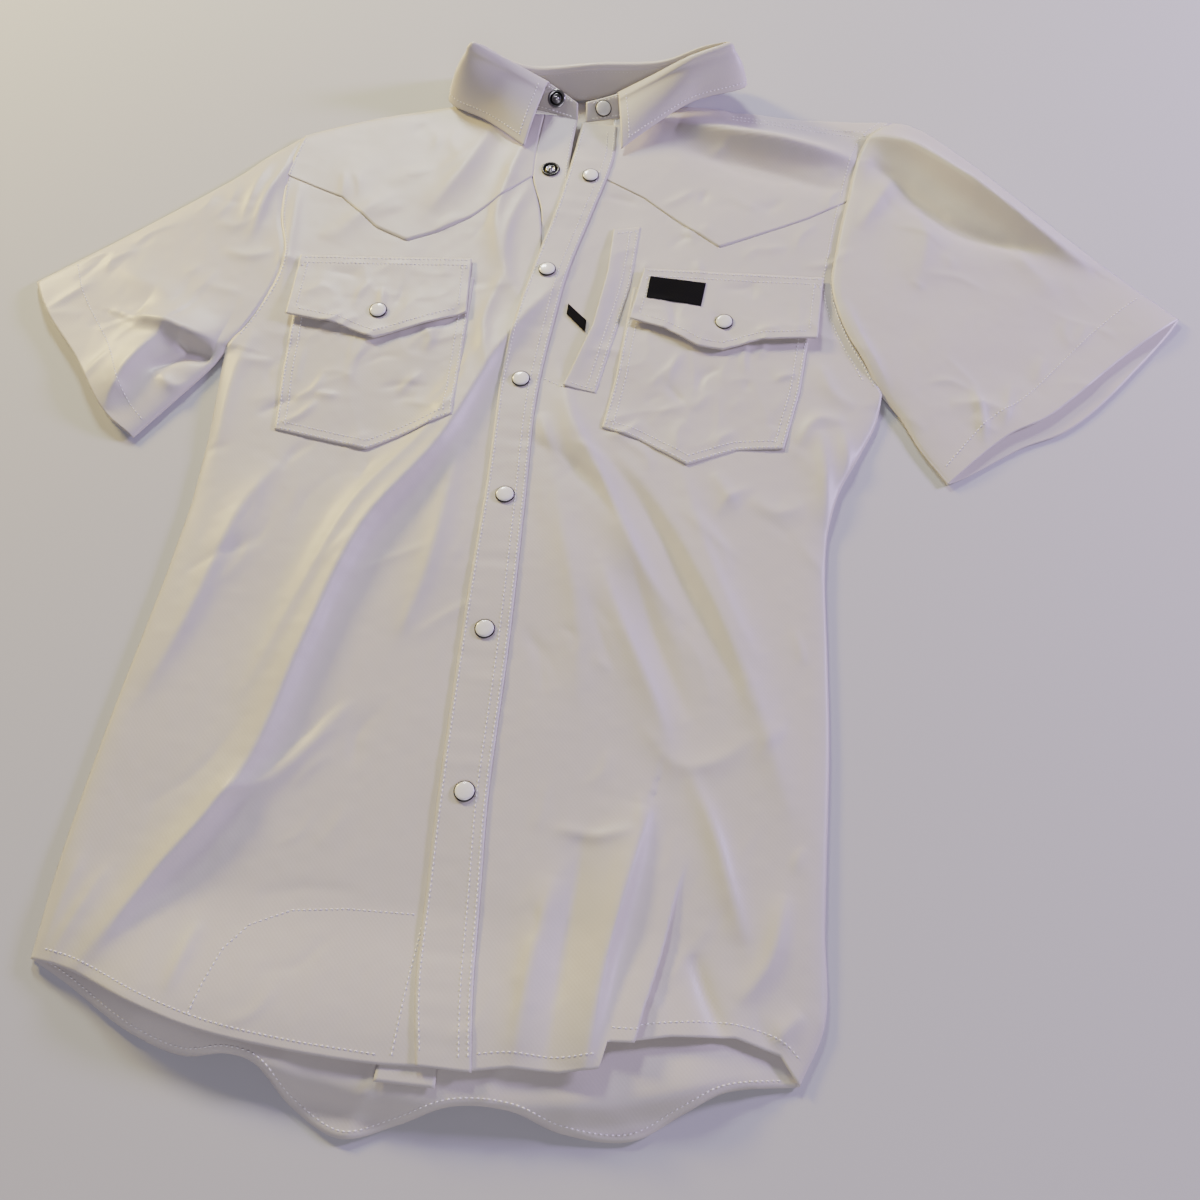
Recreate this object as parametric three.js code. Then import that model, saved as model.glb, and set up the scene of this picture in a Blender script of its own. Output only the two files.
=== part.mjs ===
// A short sleeve snap-front shirt with western yokes, laid on its back on a flat surface.
// Millimetres, +Z up, +Y from the hem to the collar, +X to the wearer's left.
// Every outline below is written round the centre front line (x = 0) and the middle snaps
// (y = 0); the last lines move the group so that its origin is under the middle of the shirt.
import * as THREE from 'three';

// ---------------------------------------------------------------- driving dimensions
const CLOTH = 1.0;            // wall of every piece of shirting
const SEAM = 0.3;             // gap between neighbouring pieces
const UNDER = CLOTH + SEAM;   // lowest underside of the upper layer, just clear of the back
const LOFT = 2.6;             // how far the upper layer stands off the back inside its edges
const EDGE_ROUND = 14;        // width over which the upper layer rolls down to a side edge
const TAIL_LIFT = 8;          // height of the soft roll under the hem
const SLEEVE_EDGE = 1.7;      // height of a sleeve's folded edges above the surface
const SLEEVE_WALL = 0.8;      // wall of a sleeve
const POCKET_WALL = 0.8;      // wall of a pocket or flap
const COLLAR_WALL = 1.2;      // two layers of cloth and their interlining
const SNAP_RADIUS = 6.2;      // outer radius of a snap's rim
const PEARL_RADIUS = 5.3;     // radius of the pearl face inside the rim
const SNAP_HEIGHT = 1.5;      // height of the rim above the cloth
const SNAP_SIDES = 16;        // facets round a snap

// Materials: colour, roughness and metalness of each finish.
const FINISH = {
  shirting: { color: 0xd9d2c8, roughness: 0.62, metalness: 0 },
  pearl: { color: 0xf1efe4, roughness: 0.22, metalness: 0 },
  rim: { color: 0x3c3a38, roughness: 0.35, metalness: 0.8 },
  socket: { color: 0x8f8d8a, roughness: 0.3, metalness: 0.9 },
  label: { color: 0x17171a, roughness: 0.7, metalness: 0 },
};

// ---------------------------------------------------------------- outlines, as [x, y]
// The side seams and armholes run upwards; hems, yoke seams and shoulders run to +X.
const SIDE_LEFT = [[-211, -312], [-212, -260], [-209, -181], [-202, -81], [-200, -31],
  [-202, 19], [-206, 59], [-209, 86]];
const ARMHOLE_LEFT = [[-209, 86], [-196, 122], [-188, 156], [-188, 177], [-198, 210], [-203, 250]];
const ARMHOLE_LEFT_YOKE = [[-203, 250], [-202, 270], [-199, 294]];
const SHOULDER_LEFT = [[-199, 294], [-173, 307], [-148, 318], [-118, 328], [-90, 337], [-55, 334],
  [-24, 334]];
// Top of the back: both shoulders, and the neck edge that the collar stand is sewn to.
const NECK_BACK = [[-199, 294], [-148, 318], [-95, 338], [-48, 352], [12, 354], [65, 356], [102, 358],
  [135, 353], [172, 350], [211, 352], [240, 355]];
const YOKE_LEFT = [[-203, 250], [-158, 233], [-128, 207], [-105, 197], [-83, 209], [-63, 224],
  [-43, 246], [-24, 268]];
const HEM_LEFT = [[-211, -312], [-188, -316], [-147, -330], [-111, -339], [-66, -344], [-20, -346]];

const SIDE_RIGHT = [[192, -331], [204, -300], [203, -250], [203, -151], [201, -101], [198, -41],
  [199, -10], [206, 22], [218, 50], [229, 78], [232, 99]];
const ARMHOLE_RIGHT = [[232, 99], [221, 123], [211, 143], [203, 166], [199, 189], [202, 222],
  [205, 246], [209, 270]];
const ARMHOLE_RIGHT_YOKE = [[209, 270], [213, 296], [220, 324], [240, 355]];
const SHOULDER_RIGHT = [[30, 333], [60, 340], [92, 348], [129, 353], [172, 350], [211, 352], [240, 355]];
const YOKE_RIGHT = [[28, 272], [60, 256], [90, 233], [117, 214], [144, 229], [178, 248], [209, 270]];
const HEM_RIGHT = [[23, -342], [45, -338], [70, -338], [90, -334], [93, -321], [110, -320],
  [129, -315], [159, -312], [182, -318], [192, -331]];

const TAIL = [[-211, -312], [-189, -322], [-149, -342], [-119, -350], [-95, -347], [-80, -350],
  [-60, -367], [-32, -379], [-5, -370], [21, -359], [50, -358], [75, -365], [110, -365],
  [135, -350], [155, -338], [192, -331]];

// The front band and the band under it: a row for each height, with the x of both edges.
const PLACKET = [
  { y: -343, left: 1, right: 29 }, { y: -301, left: -7, right: 23 }, { y: -242, left: -11, right: 18 },
  { y: -202, left: -13, right: 15 }, { y: -104, left: -16, right: 13 }, { y: -5, left: -17, right: 9 },
  { y: 54, left: -19, right: 6 }, { y: 84, left: -20, right: 6 }, { y: 143, left: -16, right: 10 },
  { y: 183, left: -11, right: 14 }, { y: 232, left: -3, right: 23 }, { y: 291, left: 4, right: 34 },
  { y: 325, left: 7, right: 33 },
];
const UNDER_PLACKET = [
  { y: -347, left: -19, right: 12 }, { y: -263, left: -10, right: 8 }, { y: -200, left: -10, right: 5 },
  { y: -100, left: -13, right: 3 }, { y: 0, left: -14, right: -1 }, { y: 60, left: -16, right: -4 },
  { y: 90, left: -17, right: -4 }, { y: 143, left: -13, right: 0 }, { y: 183, left: -10, right: 4 },
  { y: 232, left: -12, right: 8 }, { y: 268, left: -23, right: 3 },
];
const UNDER_PLACKET_TOP = [{ y: 268, left: -23, right: 3 }, { y: 300, left: -24, right: 2 },
  { y: 332, left: -23, right: 3 }];

// Sleeves: the folded top edge, the cuff and the underarm edge, outwards from the body.
const SLEEVE_LEFT = {
  top: [[-199, 294], [-224, 267], [-238, 249], [-294, 192], [-355, 134]],
  cuff: [[-355, 134], [-337, 106], [-306, 71], [-273, 29], [-251, 14]],
  under: [[-209, 86], [-216, 72], [-232, 45], [-251, 14]],
  loft: 4.4, cuffLoft: 4.6,
};
const SLEEVE_RIGHT = {
  top: [[240, 355], [249, 355], [264, 348], [296, 321], [336, 281], [381, 235], [435, 186]],
  cuff: [[435, 186], [394, 148], [340, 93], [313, 75], [274, 35]],
  under: [[232, 99], [244, 83], [257, 59], [274, 35]],
  loft: 6.0, cuffLoft: 10.5,
};

// Soft folds of the upper layer: a smooth line, the height of its crest and its half width.
const FOLDS = [
  { line: [[-100, -12], [-118, -70], [-146, -150], [-172, -230], [-186, -280]], height: 8, width: 13 },
  { line: [[-166, 0], [-180, -60], [-188, -120]], height: 4, width: 13 },
  { line: [[60, 0], [96, -60], [130, -120], [158, -190], [172, -250]], height: 9, width: 15 },
  { line: [[50, -60], [78, -120], [104, -180], [108, -240], [92, -290]], height: 6, width: 16 },
  { line: [[105, 350], [150, 333], [212, 318], [262, 296], [330, 252]], height: 11, width: 17 },
];

// Pockets and flaps. A pocket is its three sewn edges; a flap hangs from its top edge.
const POCKET_LEFT = { top: [[-172, 124], [-51, 134]], left: [[-160, 28], [-166, 76], [-172, 124]],
  right: [[-46, 48], [-48, 86], [-51, 134]], bottom: [[-160, 28], [-98, 19], [-46, 48]] };
const FLAP_LEFT = { top: [[-175, 174], [-55, 184]], left: [[-173, 120], [-175, 174]],
  right: [[-51, 135], [-55, 184]], bottom: [[-173, 120], [-137, 115], [-110, 106], [-51, 135]] };
const POCKET_RIGHT = { top: [[60, 138], [186, 142]], left: [[51, 52], [56, 95], [60, 138]],
  right: [[169, 48], [178, 95], [186, 142]], bottom: [[51, 52], [76, 45], [108, 29], [139, 44], [169, 48]] };
const FLAP_RIGHT = { top: [[66, 188], [191, 193]], left: [[60, 142], [66, 188]],
  right: [[188, 138], [191, 193]], bottom: [[60, 142], [85, 135], [108, 123], [125, 122], [149, 132], [188, 138]] };
const POCKET_TOP_UP = 34;     // how far a pocket runs on under its flap
const STRIP = { top: [[41, 224], [60, 228]], left: [[22, 82], [36, 133], [41, 183], [41, 224]],
  right: [[44, 79], [51, 124], [58, 173], [60, 228]], bottom: [[22, 82], [44, 79]] };
const TAB = { top: [[17, 152], [31, 139]], left: [[17, 143], [17, 152]],
  right: [[31, 129], [31, 139]], bottom: [[17, 143], [31, 129]] };
const LABEL = { top: [[71, 181], [110, 179]], left: [[70, 161], [71, 181]],
  right: [[108, 158], [110, 179]], bottom: [[70, 161], [108, 158]] };

// Snaps on the front band from the neck down, on the flaps, and the two open socket halves.
const FRONT_SNAPS = [[19, 272], [-1, 179], [-6.5, 85], [-4, -5.5], [-2.5, -99], [1.5, -199]];
const FLAP_SNAPS = [[-111, 130], [124.5, 146]];
const CHEST_SOCKET = [-11, 276];

// The collar from its left front end round the neck to its right front end. A row has the
// foot of the stand, the roll line over it, and the leaf's free edge where there is a leaf.
const COLLAR = [
  { foot: [3, 328, 5.8], roll: [2, 336, 21] },
  { foot: [-24, 335.5, 5.8], roll: [-21, 348, 27], edge: [-33, 294, 9.5] },
  { foot: [-55, 336, 5.8], roll: [-47, 352, 37], edge: [-64, 317, 9] },
  { foot: [-80, 345, 5], roll: [-76, 356, 46.5], edge: [-97, 338, 7] },
  { foot: [-79, 352, 3], roll: [-71, 363, 43], edge: [-88, 368, 8] },
  { foot: [-45, 354, 1.8], roll: [-42, 364, 25], edge: [-46, 378, 4] },
  { foot: [12, 355, 1.8], roll: [14, 366, 25], edge: [15, 380, 3] },
  { foot: [65, 357, 1.8], roll: [62, 368, 30], edge: [68, 384, 4] },
  { foot: [100, 361, 3], roll: [92, 375, 41], edge: [112, 388, 12] },
  { foot: [108, 355, 8], roll: [109, 374, 48], edge: [127, 361, 21] },
  { foot: [76, 345, 15], roll: [82, 362, 45], edge: [88, 341, 20] },
  { foot: [50, 338, 8], roll: [56, 354, 34], edge: [60, 319, 14] },
  { foot: [31, 333.5, 5.8], roll: [31, 347, 22], edge: [39, 299, 9.5] },
  { foot: [9, 327.5, 5.8], roll: [8, 338, 20] },
];
const STAND_DROP = 3.4;       // the stand stops this far under the roll line
const LEAF_OUT = 1.3;         // the leaf starts this far outside the roll line
const LEAF_BELLY = 2.5;       // outward belly of the leaf between roll line and edge
const STAND_SNAP_GAP = 0.6;   // the stand curves, so its snaps stand this far off it
const COLLAR_SNAP = { at: 0.965, up: 0.55 };   // place along and up the stand
const COLLAR_SOCKET = { at: 0.03, up: 0.62 };

// ---------------------------------------------------------------- curves and patches
function samples(points, count, smooth = true) {
  const corners = points.map(([x, y]) => new THREE.Vector3(x, y, 0));
  const curve = smooth && corners.length > 2
    ? new THREE.CatmullRomCurve3(corners, false, 'centripetal')
    : new THREE.CurvePath();
  if (curve.curves) {
    for (let i = 1; i < corners.length; i += 1) {
      curve.add(new THREE.LineCurve3(corners[i - 1], corners[i]));
    }
  }
  return Array.from({ length: count + 1 }, (_, i) => curve.getPointAt(i / count));
}

const chain = (first, second) => first.concat(second.slice(1));
const shifted = (points, dx, dy) => points.map((p) => new THREE.Vector3(p.x + dx, p.y + dy, 0));
const bandEdge = (rows, side, count) => samples(rows.map((row) => [row[side], row.y]), count);

// A Coons patch between four sampled edges; opposite edges have the same count of points.
function coons({ bottom, top, left, right }) {
  const columns = bottom.length - 1;
  const rows = left.length - 1;
  return (i, j) => {
    const u = i / columns;
    const v = j / rows;
    const point = new THREE.Vector3();
    point.addScaledVector(bottom[i], 1 - v).addScaledVector(top[i], v);
    point.addScaledVector(left[j], 1 - u).addScaledVector(right[j], u);
    point.addScaledVector(bottom[0], -(1 - u) * (1 - v)).addScaledVector(bottom[columns], -u * (1 - v));
    point.addScaledVector(top[0], -(1 - u) * v).addScaledVector(top[columns], -u * v);
    return point;
  };
}

// ---------------------------------------------------------------- the lie of the cloth
const clamp01 = (t) => Math.min(1, Math.max(0, t));
const smooth01 = (t) => clamp01(t) ** 2 * (3 - 2 * clamp01(t));
const quarterRound = (t) => Math.sqrt(1 - (1 - clamp01(t)) ** 2);

const FOLD_STEPS = 24;
const foldPoints = FOLDS.map((fold) => samples(fold.line, FOLD_STEPS));

// Height that the folds add: a bell across each line, fading out towards its two ends.
function foldHeight(x, y) {
  let height = 0;
  FOLDS.forEach((fold, index) => {
    let nearest = Infinity;
    let along = 0;
    foldPoints[index].forEach((p, step) => {
      const distance = Math.hypot(p.x - x, p.y - y);
      if (distance < nearest) {
        nearest = distance;
        along = step / FOLD_STEPS;
      }
    });
    const fade = Math.sin(Math.PI * (0.08 + 0.84 * along)) ** 0.7;
    height = Math.max(height, fold.height * fade * Math.exp(-((nearest / fold.width) ** 2)));
  });
  return height;
}

// The front band eases up a little over the soft roll, so that it clears the front under it.
const BAND_EASE = 0.7;
const BAND_EASE_FROM = -215;

// The soft roll under the hem: it climbs from the surface, then falls to the tail's lobes.
const ROLL_START = -262;
const ROLL_TOP = -335;
const ROLL_FALL = 20;
const rollLine = (x) => -358 + 0.0011 * (x - 10) ** 2;
function tailRoll(x, y) {
  const climb = smooth01((ROLL_START - y) / (ROLL_START - ROLL_TOP));
  const fall = 1 - smooth01((rollLine(x) - y) / ROLL_FALL);
  const ends = smooth01((200 - Math.abs(x + 5)) / 60);
  return TAIL_LIFT * climb * fall * ends;
}

// Value of a table of [key, value] rows at a key, in straight steps between the rows.
function lookUp(rows, key) {
  const k = rows.findIndex((row) => row[0] > key);
  if (k < 1) return rows[k < 0 ? rows.length - 1 : 0][1];
  const [k0, v0] = rows[k - 1];
  const [k1, v1] = rows[k];
  return v0 + ((v1 - v0) * (key - k0)) / (k1 - k0);
}

// Distance into the body from its side seams and shoulders, used for the rolled edges.
const ARMPIT = 86;
const NECK = { left: -88, right: 118 };
const byHeight = (points) => points.map(([x, y]) => [y, x]);
const leftEdge = byHeight(SIDE_LEFT);
const rightEdge = byHeight(SIDE_RIGHT);
function edgeDistance(x, y) {
  const past = Math.max(0, y - ARMPIT);
  const left = x - lookUp(leftEdge, y) + past;
  const right = lookUp(rightEdge, y) - x + past;
  const shoulder = lookUp(x < 0 ? SHOULDER_LEFT : SHOULDER_RIGHT, x) - y;
  const neck = Math.max(0, Math.min(x - NECK.left, NECK.right - x));
  return Math.min(left, right, shoulder + neck);
}

// Underside of the upper layer of the body.
function upperLayer(x, y) {
  const rim = quarterRound(edgeDistance(x, y) / EDGE_ROUND);
  return UNDER + tailRoll(x, y) + LOFT * rim + foldHeight(x, y) * rim;
}

// ---------------------------------------------------------------- closed solids
function solid(positions, indices) {
  const geometry = new THREE.BufferGeometry();
  geometry.setAttribute('position', new THREE.Float32BufferAttribute(positions, 3));
  geometry.setIndex(indices);
  geometry.computeVertexNormals();
  return geometry;
}

// A wall between two grids of points: outer(i, j) above or outside inner(i, j).
function wallBetween(outer, inner, columns, rows, flip = false) {
  const positions = [];
  const indices = [];
  [outer, inner].forEach((face) => {
    for (let j = 0; j <= rows; j += 1) {
      for (let i = 0; i <= columns; i += 1) positions.push(...face(i, j).toArray());
    }
  });
  const stride = columns + 1;
  const innerStart = stride * (rows + 1);
  const quad = (a, b, c, d) => (flip ? indices.push(a, c, b, a, d, c) : indices.push(a, b, c, a, c, d));
  for (let j = 0; j < rows; j += 1) {
    for (let i = 0; i < columns; i += 1) {
      const a = j * stride + i;
      quad(a, a + 1, a + 1 + stride, a + stride);
      quad(innerStart + a, innerStart + a + stride, innerStart + a + 1 + stride, innerStart + a + 1);
    }
  }
  const rim = [];
  for (let i = 0; i < columns; i += 1) rim.push(i);
  for (let j = 0; j < rows; j += 1) rim.push(j * stride + columns);
  for (let i = columns; i > 0; i -= 1) rim.push(rows * stride + i);
  for (let j = rows; j > 0; j -= 1) rim.push(j * stride);
  rim.forEach((a, k) => {
    const b = rim[(k + 1) % rim.length];
    quad(a, innerStart + a, innerStart + b, b);
  });
  return solid(positions, indices);
}

// A flat-lying piece: the patch gives its plan, floor(x, y) its underside.
function sheet(edges, floor, wall = CLOTH) {
  const plan = coons(edges);
  const at = (lift) => (i, j) => {
    const p = plan(i, j);
    p.z = floor(p.x, p.y) + lift;
    return p;
  };
  return wallBetween(at(wall), at(0), edges.bottom.length - 1, edges.left.length - 1);
}

// A flattened tube: u runs across from the top edge to the underarm edge, v out to the cuff.
function sleeve({ top, cuff, under, loft, cuffLoft }, root, rows, flip) {
  const columns = root.length - 1;
  const plan = coons({ bottom: root, top: samples(cuff, columns), left: samples(top, rows),
    right: samples(under, rows) });
  const FLAT_EDGE = 1.6;
  const rimOf = (i) => quarterRound((FLAT_EDGE * Math.min(i, columns - i)) / 3);
  const upper = (i, j) => {
    const p = plan(i, j);
    const v = j / rows;
    p.z = SLEEVE_EDGE + rimOf(i) * (loft + (cuffLoft - loft) * smooth01(v) + foldHeight(p.x, p.y));
    return p;
  };
  const lower = (i, j) => {
    const p = plan(i, j);
    p.z = SLEEVE_EDGE * (1 - rimOf(i));
    return p;
  };
  const ringCount = 2 * columns;
  const outer = (k, j) => (k <= columns ? upper(k, j) : lower(ringCount - k, j));
  const inner = (k, j) => {
    const i = k <= columns ? k : ringCount - k;
    const p = outer(k, j);
    if (i === 0 || i === columns) {
      const next = plan(i === 0 ? 1 : columns - 1, j);
      const inward = next.sub(plan(i, j)).setLength(2 * SLEEVE_WALL);
      return p.add(inward);
    }
    p.z += k < columns ? -SLEEVE_WALL : SLEEVE_WALL;
    return p;
  };
  return tube(outer, inner, ringCount, rows, flip);
}

// A tube wall: closed rings outside and inside, joined by a flat annulus at each end.
function tube(outer, inner, around, rows, flip) {
  const positions = [];
  const indices = [];
  [outer, inner].forEach((face) => {
    for (let j = 0; j <= rows; j += 1) {
      for (let k = 0; k < around; k += 1) positions.push(...face(k, j).toArray());
    }
  });
  const innerStart = around * (rows + 1);
  const quad = (a, b, c, d) => (flip ? indices.push(a, c, b, a, d, c) : indices.push(a, b, c, a, c, d));
  for (let k = 0; k < around; k += 1) {
    const n = (k + 1) % around;
    for (let j = 0; j < rows; j += 1) {
      const [a, b, c, d] = [j * around + k, j * around + n, (j + 1) * around + n, (j + 1) * around + k];
      quad(a, b, c, d);
      quad(innerStart + a, innerStart + d, innerStart + c, innerStart + b);
    }
    const end = rows * around;
    quad(k, innerStart + k, innerStart + n, n);
    quad(end + k, end + n, innerStart + end + n, innerStart + end + k);
  }
  return solid(positions, indices);
}

// ---------------------------------------------------------------- collar
const through = (points) => new THREE.CatmullRomCurve3(points, false, 'centripetal');
const vector = ([x, y, z]) => new THREE.Vector3(x, y, z);

function outwardOf(row) {
  const [from, to] = [vector(row.foot), vector(row.edge ?? row.roll)];
  const sign = row.edge ? 1 : -1;
  return to.sub(from).setZ(0).normalize().multiplyScalar(sign);
}

// A wall of constant thickness on a surface given as lines of points, one line for each v.
function ribbon(lines, columns, wall, flip) {
  const curves = lines.map(through);
  const rows = lines.length - 1;
  const grid = curves.map((curve) => curve.getSpacedPoints(columns));
  const normalAt = (i, j) => {
    const along = grid[j][Math.min(i + 1, columns)].clone().sub(grid[j][Math.max(i - 1, 0)]);
    const up = grid[Math.min(j + 1, rows)][i].clone().sub(grid[Math.max(j - 1, 0)][i]);
    return along.cross(up).normalize();
  };
  const at = (offset) => (i, j) => grid[j][i].clone().addScaledVector(normalAt(i, j), offset);
  return { geometry: wallBetween(at(wall / 2), at(-wall / 2), columns, rows, flip), grid, normalAt };
}

function collarStand(columns) {
  const foot = COLLAR.map((row) => vector(row.foot));
  const head = COLLAR.map((row) => vector(row.roll).add(new THREE.Vector3(0, 0, -STAND_DROP)));
  const middle = foot.map((p, i) => p.clone().lerp(head[i], 0.5));
  return ribbon([foot, middle, head], columns, COLLAR_WALL, false);
}

function collarLeaf(columns) {
  const rows = COLLAR.filter((row) => row.edge);
  const lineAt = (t) => rows.map((row) => {
    const outward = outwardOf(row);
    const start = vector(row.roll).addScaledVector(outward, LEAF_OUT);
    const point = start.lerp(vector(row.edge), t);
    point.addScaledVector(outward, LEAF_BELLY * Math.sin(Math.PI * t));
    point.z += LEAF_BELLY * Math.sin(Math.PI * t);
    return point;
  });
  return ribbon([1, 0.66, 0.33, 0].map(lineAt), columns, COLLAR_WALL, false);
}

// ---------------------------------------------------------------- snaps
function turned(profile) {
  const points = profile.map(([radius, z]) => new THREE.Vector2(radius, z));
  const geometry = new THREE.LatheGeometry(points, SNAP_SIDES);
  geometry.rotateX(Math.PI / 2);
  return geometry;
}

function snapRim() {
  const seat = SNAP_HEIGHT - 0.5;
  return turned([[0, 0], [SNAP_RADIUS - 0.4, 0], [SNAP_RADIUS, 0.5], [SNAP_RADIUS - 0.2, SNAP_HEIGHT],
    [PEARL_RADIUS + 0.3, SNAP_HEIGHT], [PEARL_RADIUS + 0.3, seat], [0, seat]]);
}

function snapPearl() {
  const base = SNAP_HEIGHT - 0.5 + SEAM;
  return turned([[0, base], [PEARL_RADIUS - 0.2, base], [PEARL_RADIUS, base + 0.4],
    [PEARL_RADIUS * 0.7, base + 0.9], [0, base + 1.1]]);
}

function snapSocket() {
  return turned([[0, 0], [4.9, 0], [5.3, 0.5], [4.6, 1.3], [3.2, 1.3], [2.7, 0.5], [0, 0.5]]);
}

// ---------------------------------------------------------------- assembly
const shirt = new THREE.Group();
shirt.name = 'short_sleeve_shirt';

function add(name, geometry, finish, place) {
  const mesh = new THREE.Mesh(geometry, new THREE.MeshStandardMaterial(FINISH[finish]));
  mesh.name = name;
  if (place) {
    mesh.position.copy(place.at);
    mesh.quaternion.setFromUnitVectors(new THREE.Vector3(0, 0, 1), place.normal);
  }
  shirt.add(mesh);
}

// Points round the body that neighbouring pieces share.
const SIDE_ROWS = 14;
const ARM_ROWS = 8;
const YOKE_ROWS = 4;
const HALF_COLUMNS = 11;
const BACK_COLUMNS = 19;
const COLLAR_COLUMNS = 36;

const sideLeft = samples(SIDE_LEFT, SIDE_ROWS);
const sideRight = samples(SIDE_RIGHT, SIDE_ROWS);
const armLeft = samples(ARMHOLE_LEFT, ARM_ROWS);
const armRight = samples(ARMHOLE_RIGHT, ARM_ROWS);
const armLeftYoke = samples(ARMHOLE_LEFT_YOKE, YOKE_ROWS);
const armRightYoke = samples(ARMHOLE_RIGHT_YOKE, YOKE_ROWS);
const yokeLeft = samples(YOKE_LEFT, HALF_COLUMNS, false);
const yokeRight = samples(YOKE_RIGHT, HALF_COLUMNS, false);
const shoulderLeft = samples(SHOULDER_LEFT, HALF_COLUMNS);
const shoulderRight = samples(SHOULDER_RIGHT, HALF_COLUMNS);
const bandLeft = bandEdge(UNDER_PLACKET, 'left', SIDE_ROWS + ARM_ROWS);
const bandRight = bandEdge(UNDER_PLACKET, 'right', SIDE_ROWS + ARM_ROWS);
const bandLeftTop = bandEdge(UNDER_PLACKET_TOP, 'left', YOKE_ROWS);
const bandRightTop = bandEdge(UNDER_PLACKET_TOP, 'right', YOKE_ROWS);

function addBack() {
  const left = chain(chain(sideLeft, armLeft), armLeftYoke);
  const right = chain(chain(sideRight, armRight), armRightYoke);
  const neckEdge = samples(NECK_BACK, BACK_COLUMNS);
  const tail = samples(TAIL, BACK_COLUMNS);
  add('back', sheet({ bottom: tail, top: neckEdge, left, right }, tailRoll), 'shirting');
}

function addFronts() {
  const left = { bottom: samples(HEM_LEFT, HALF_COLUMNS), top: yokeLeft,
    left: chain(sideLeft, armLeft), right: shifted(bandLeft, -SEAM, 0) };
  left.bottom[HALF_COLUMNS] = left.right[0];
  left.top = yokeLeft.map((p, i) => (i === HALF_COLUMNS ? left.right.at(-1) : p));
  add('front_right_hand', sheet(left, upperLayer), 'shirting');

  const under = 6;
  const inner = samples(PLACKET.filter((row) => row.y < 260).map((row) => [row.right - under, row.y])
    .concat([[28, 272]]), SIDE_ROWS + ARM_ROWS);
  const right = { bottom: samples(HEM_RIGHT, HALF_COLUMNS, false), top: yokeRight, left: inner,
    right: chain(sideRight, armRight) };
  right.bottom[0] = inner[0];
  add('front_left_hand', sheet(right, upperLayer), 'shirting');
}

function addYokes() {
  const lift = 0.4;
  const left = { bottom: shifted(yokeLeft, 0, lift), top: shoulderLeft,
    left: armLeftYoke.slice(), right: shifted(bandLeftTop, -SEAM, 0) };
  left.left[0] = left.bottom[0];
  left.top[HALF_COLUMNS] = left.right.at(-1);
  left.bottom[HALF_COLUMNS] = left.right[0].setY(left.right[0].y + lift);
  add('yoke_right_hand', sheet(left, upperLayer), 'shirting');

  const inner = samples([[28, 272 + lift], [29, 300], [30, 333]], YOKE_ROWS);
  const right = { bottom: shifted(yokeRight, 0, lift), top: shoulderRight, left: inner,
    right: armRightYoke.slice() };
  right.right[0] = right.bottom[HALF_COLUMNS];
  add('yoke_left_hand', sheet(right, upperLayer), 'shirting');
}

function addBands() {
  const across = (a, b, count) => samples([[a.x, a.y], [b.x, b.y]], count, false);
  const underLeft = chain(bandLeft, bandLeftTop);
  const underRight = chain(bandRight, bandRightTop);
  add('under_placket', sheet({ bottom: across(underLeft[0], underRight[0], 2),
    top: across(underLeft.at(-1), underRight.at(-1), 2), left: underLeft, right: underRight },
  upperLayer), 'shirting');

  const rows = SIDE_ROWS + ARM_ROWS + YOKE_ROWS;
  const left = bandEdge(PLACKET, 'left', rows);
  const right = bandEdge(PLACKET, 'right', rows);
  const floor = (x, y) => onChest(x, y) + BAND_EASE * smooth01((BAND_EASE_FROM - y) / 50);
  add('placket', sheet({ bottom: across(left[0], right[0], 3), top: across(left.at(-1), right.at(-1), 3),
    left, right }, floor), 'shirting');
}

function addSleeves() {
  const rows = 8;
  const out = SEAM + 0.15;
  const leftRoot = shifted(chain(armLeft, armLeftYoke).reverse(), -out, 0);
  const rightRoot = shifted(chain(armRight, armRightYoke).reverse(), out, 0);
  add('sleeve_right_hand', sleeve(SLEEVE_LEFT, leftRoot, rows, true), 'shirting');
  add('sleeve_left_hand', sleeve(SLEEVE_RIGHT, rightRoot, rows, false), 'shirting');
}

function patchEdges({ top, left, right, bottom }, columns, rows) {
  return { top: samples(top, columns, false), bottom: samples(bottom, columns, false),
    left: samples(left, rows, false), right: samples(right, rows, false) };
}

// Things that lie on the chest: each layer's underside is above the one below it.
const onChest = (x, y) => upperLayer(x, y) + CLOTH + SEAM;
const onPocket = (x, y) => onChest(x, y) + POCKET_WALL + SEAM;
const onFlap = (x, y) => onPocket(x, y) + POCKET_WALL + SEAM;

function addPockets() {
  const raised = (pocket) => ({ ...pocket,
    top: pocket.top.map(([x, y]) => [x, y + POCKET_TOP_UP]),
    left: pocket.left.concat([[pocket.top[0][0], pocket.top[0][1] + POCKET_TOP_UP]]),
    right: pocket.right.concat([[pocket.top[1][0], pocket.top[1][1] + POCKET_TOP_UP]]) });
  const pairs = { right_hand: [POCKET_LEFT, FLAP_LEFT], left_hand: [POCKET_RIGHT, FLAP_RIGHT] };
  Object.entries(pairs).forEach(([side, [pocket, flap]]) => {
    add(`pocket_${side}`, sheet(patchEdges(raised(pocket), 8, 8), onChest, POCKET_WALL), 'shirting');
    add(`flap_${side}`, sheet(patchEdges(flap, 8, 4), onPocket, POCKET_WALL), 'shirting');
  });
  add('zip_strip', sheet(patchEdges(STRIP, 2, 8), onChest, POCKET_WALL), 'shirting');
  add('zip_tab', sheet(patchEdges(TAB, 2, 2), onChest, POCKET_WALL), 'label');
  add('label', sheet(patchEdges(LABEL, 4, 2), onFlap, POCKET_WALL), 'label');
}

const UP = new THREE.Vector3(0, 0, 1);
function addSnap(name, place) {
  add(`${name}_rim`, snapRim(), 'rim', place);
  add(`${name}_pearl`, snapPearl(), 'pearl', place);
}

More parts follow.
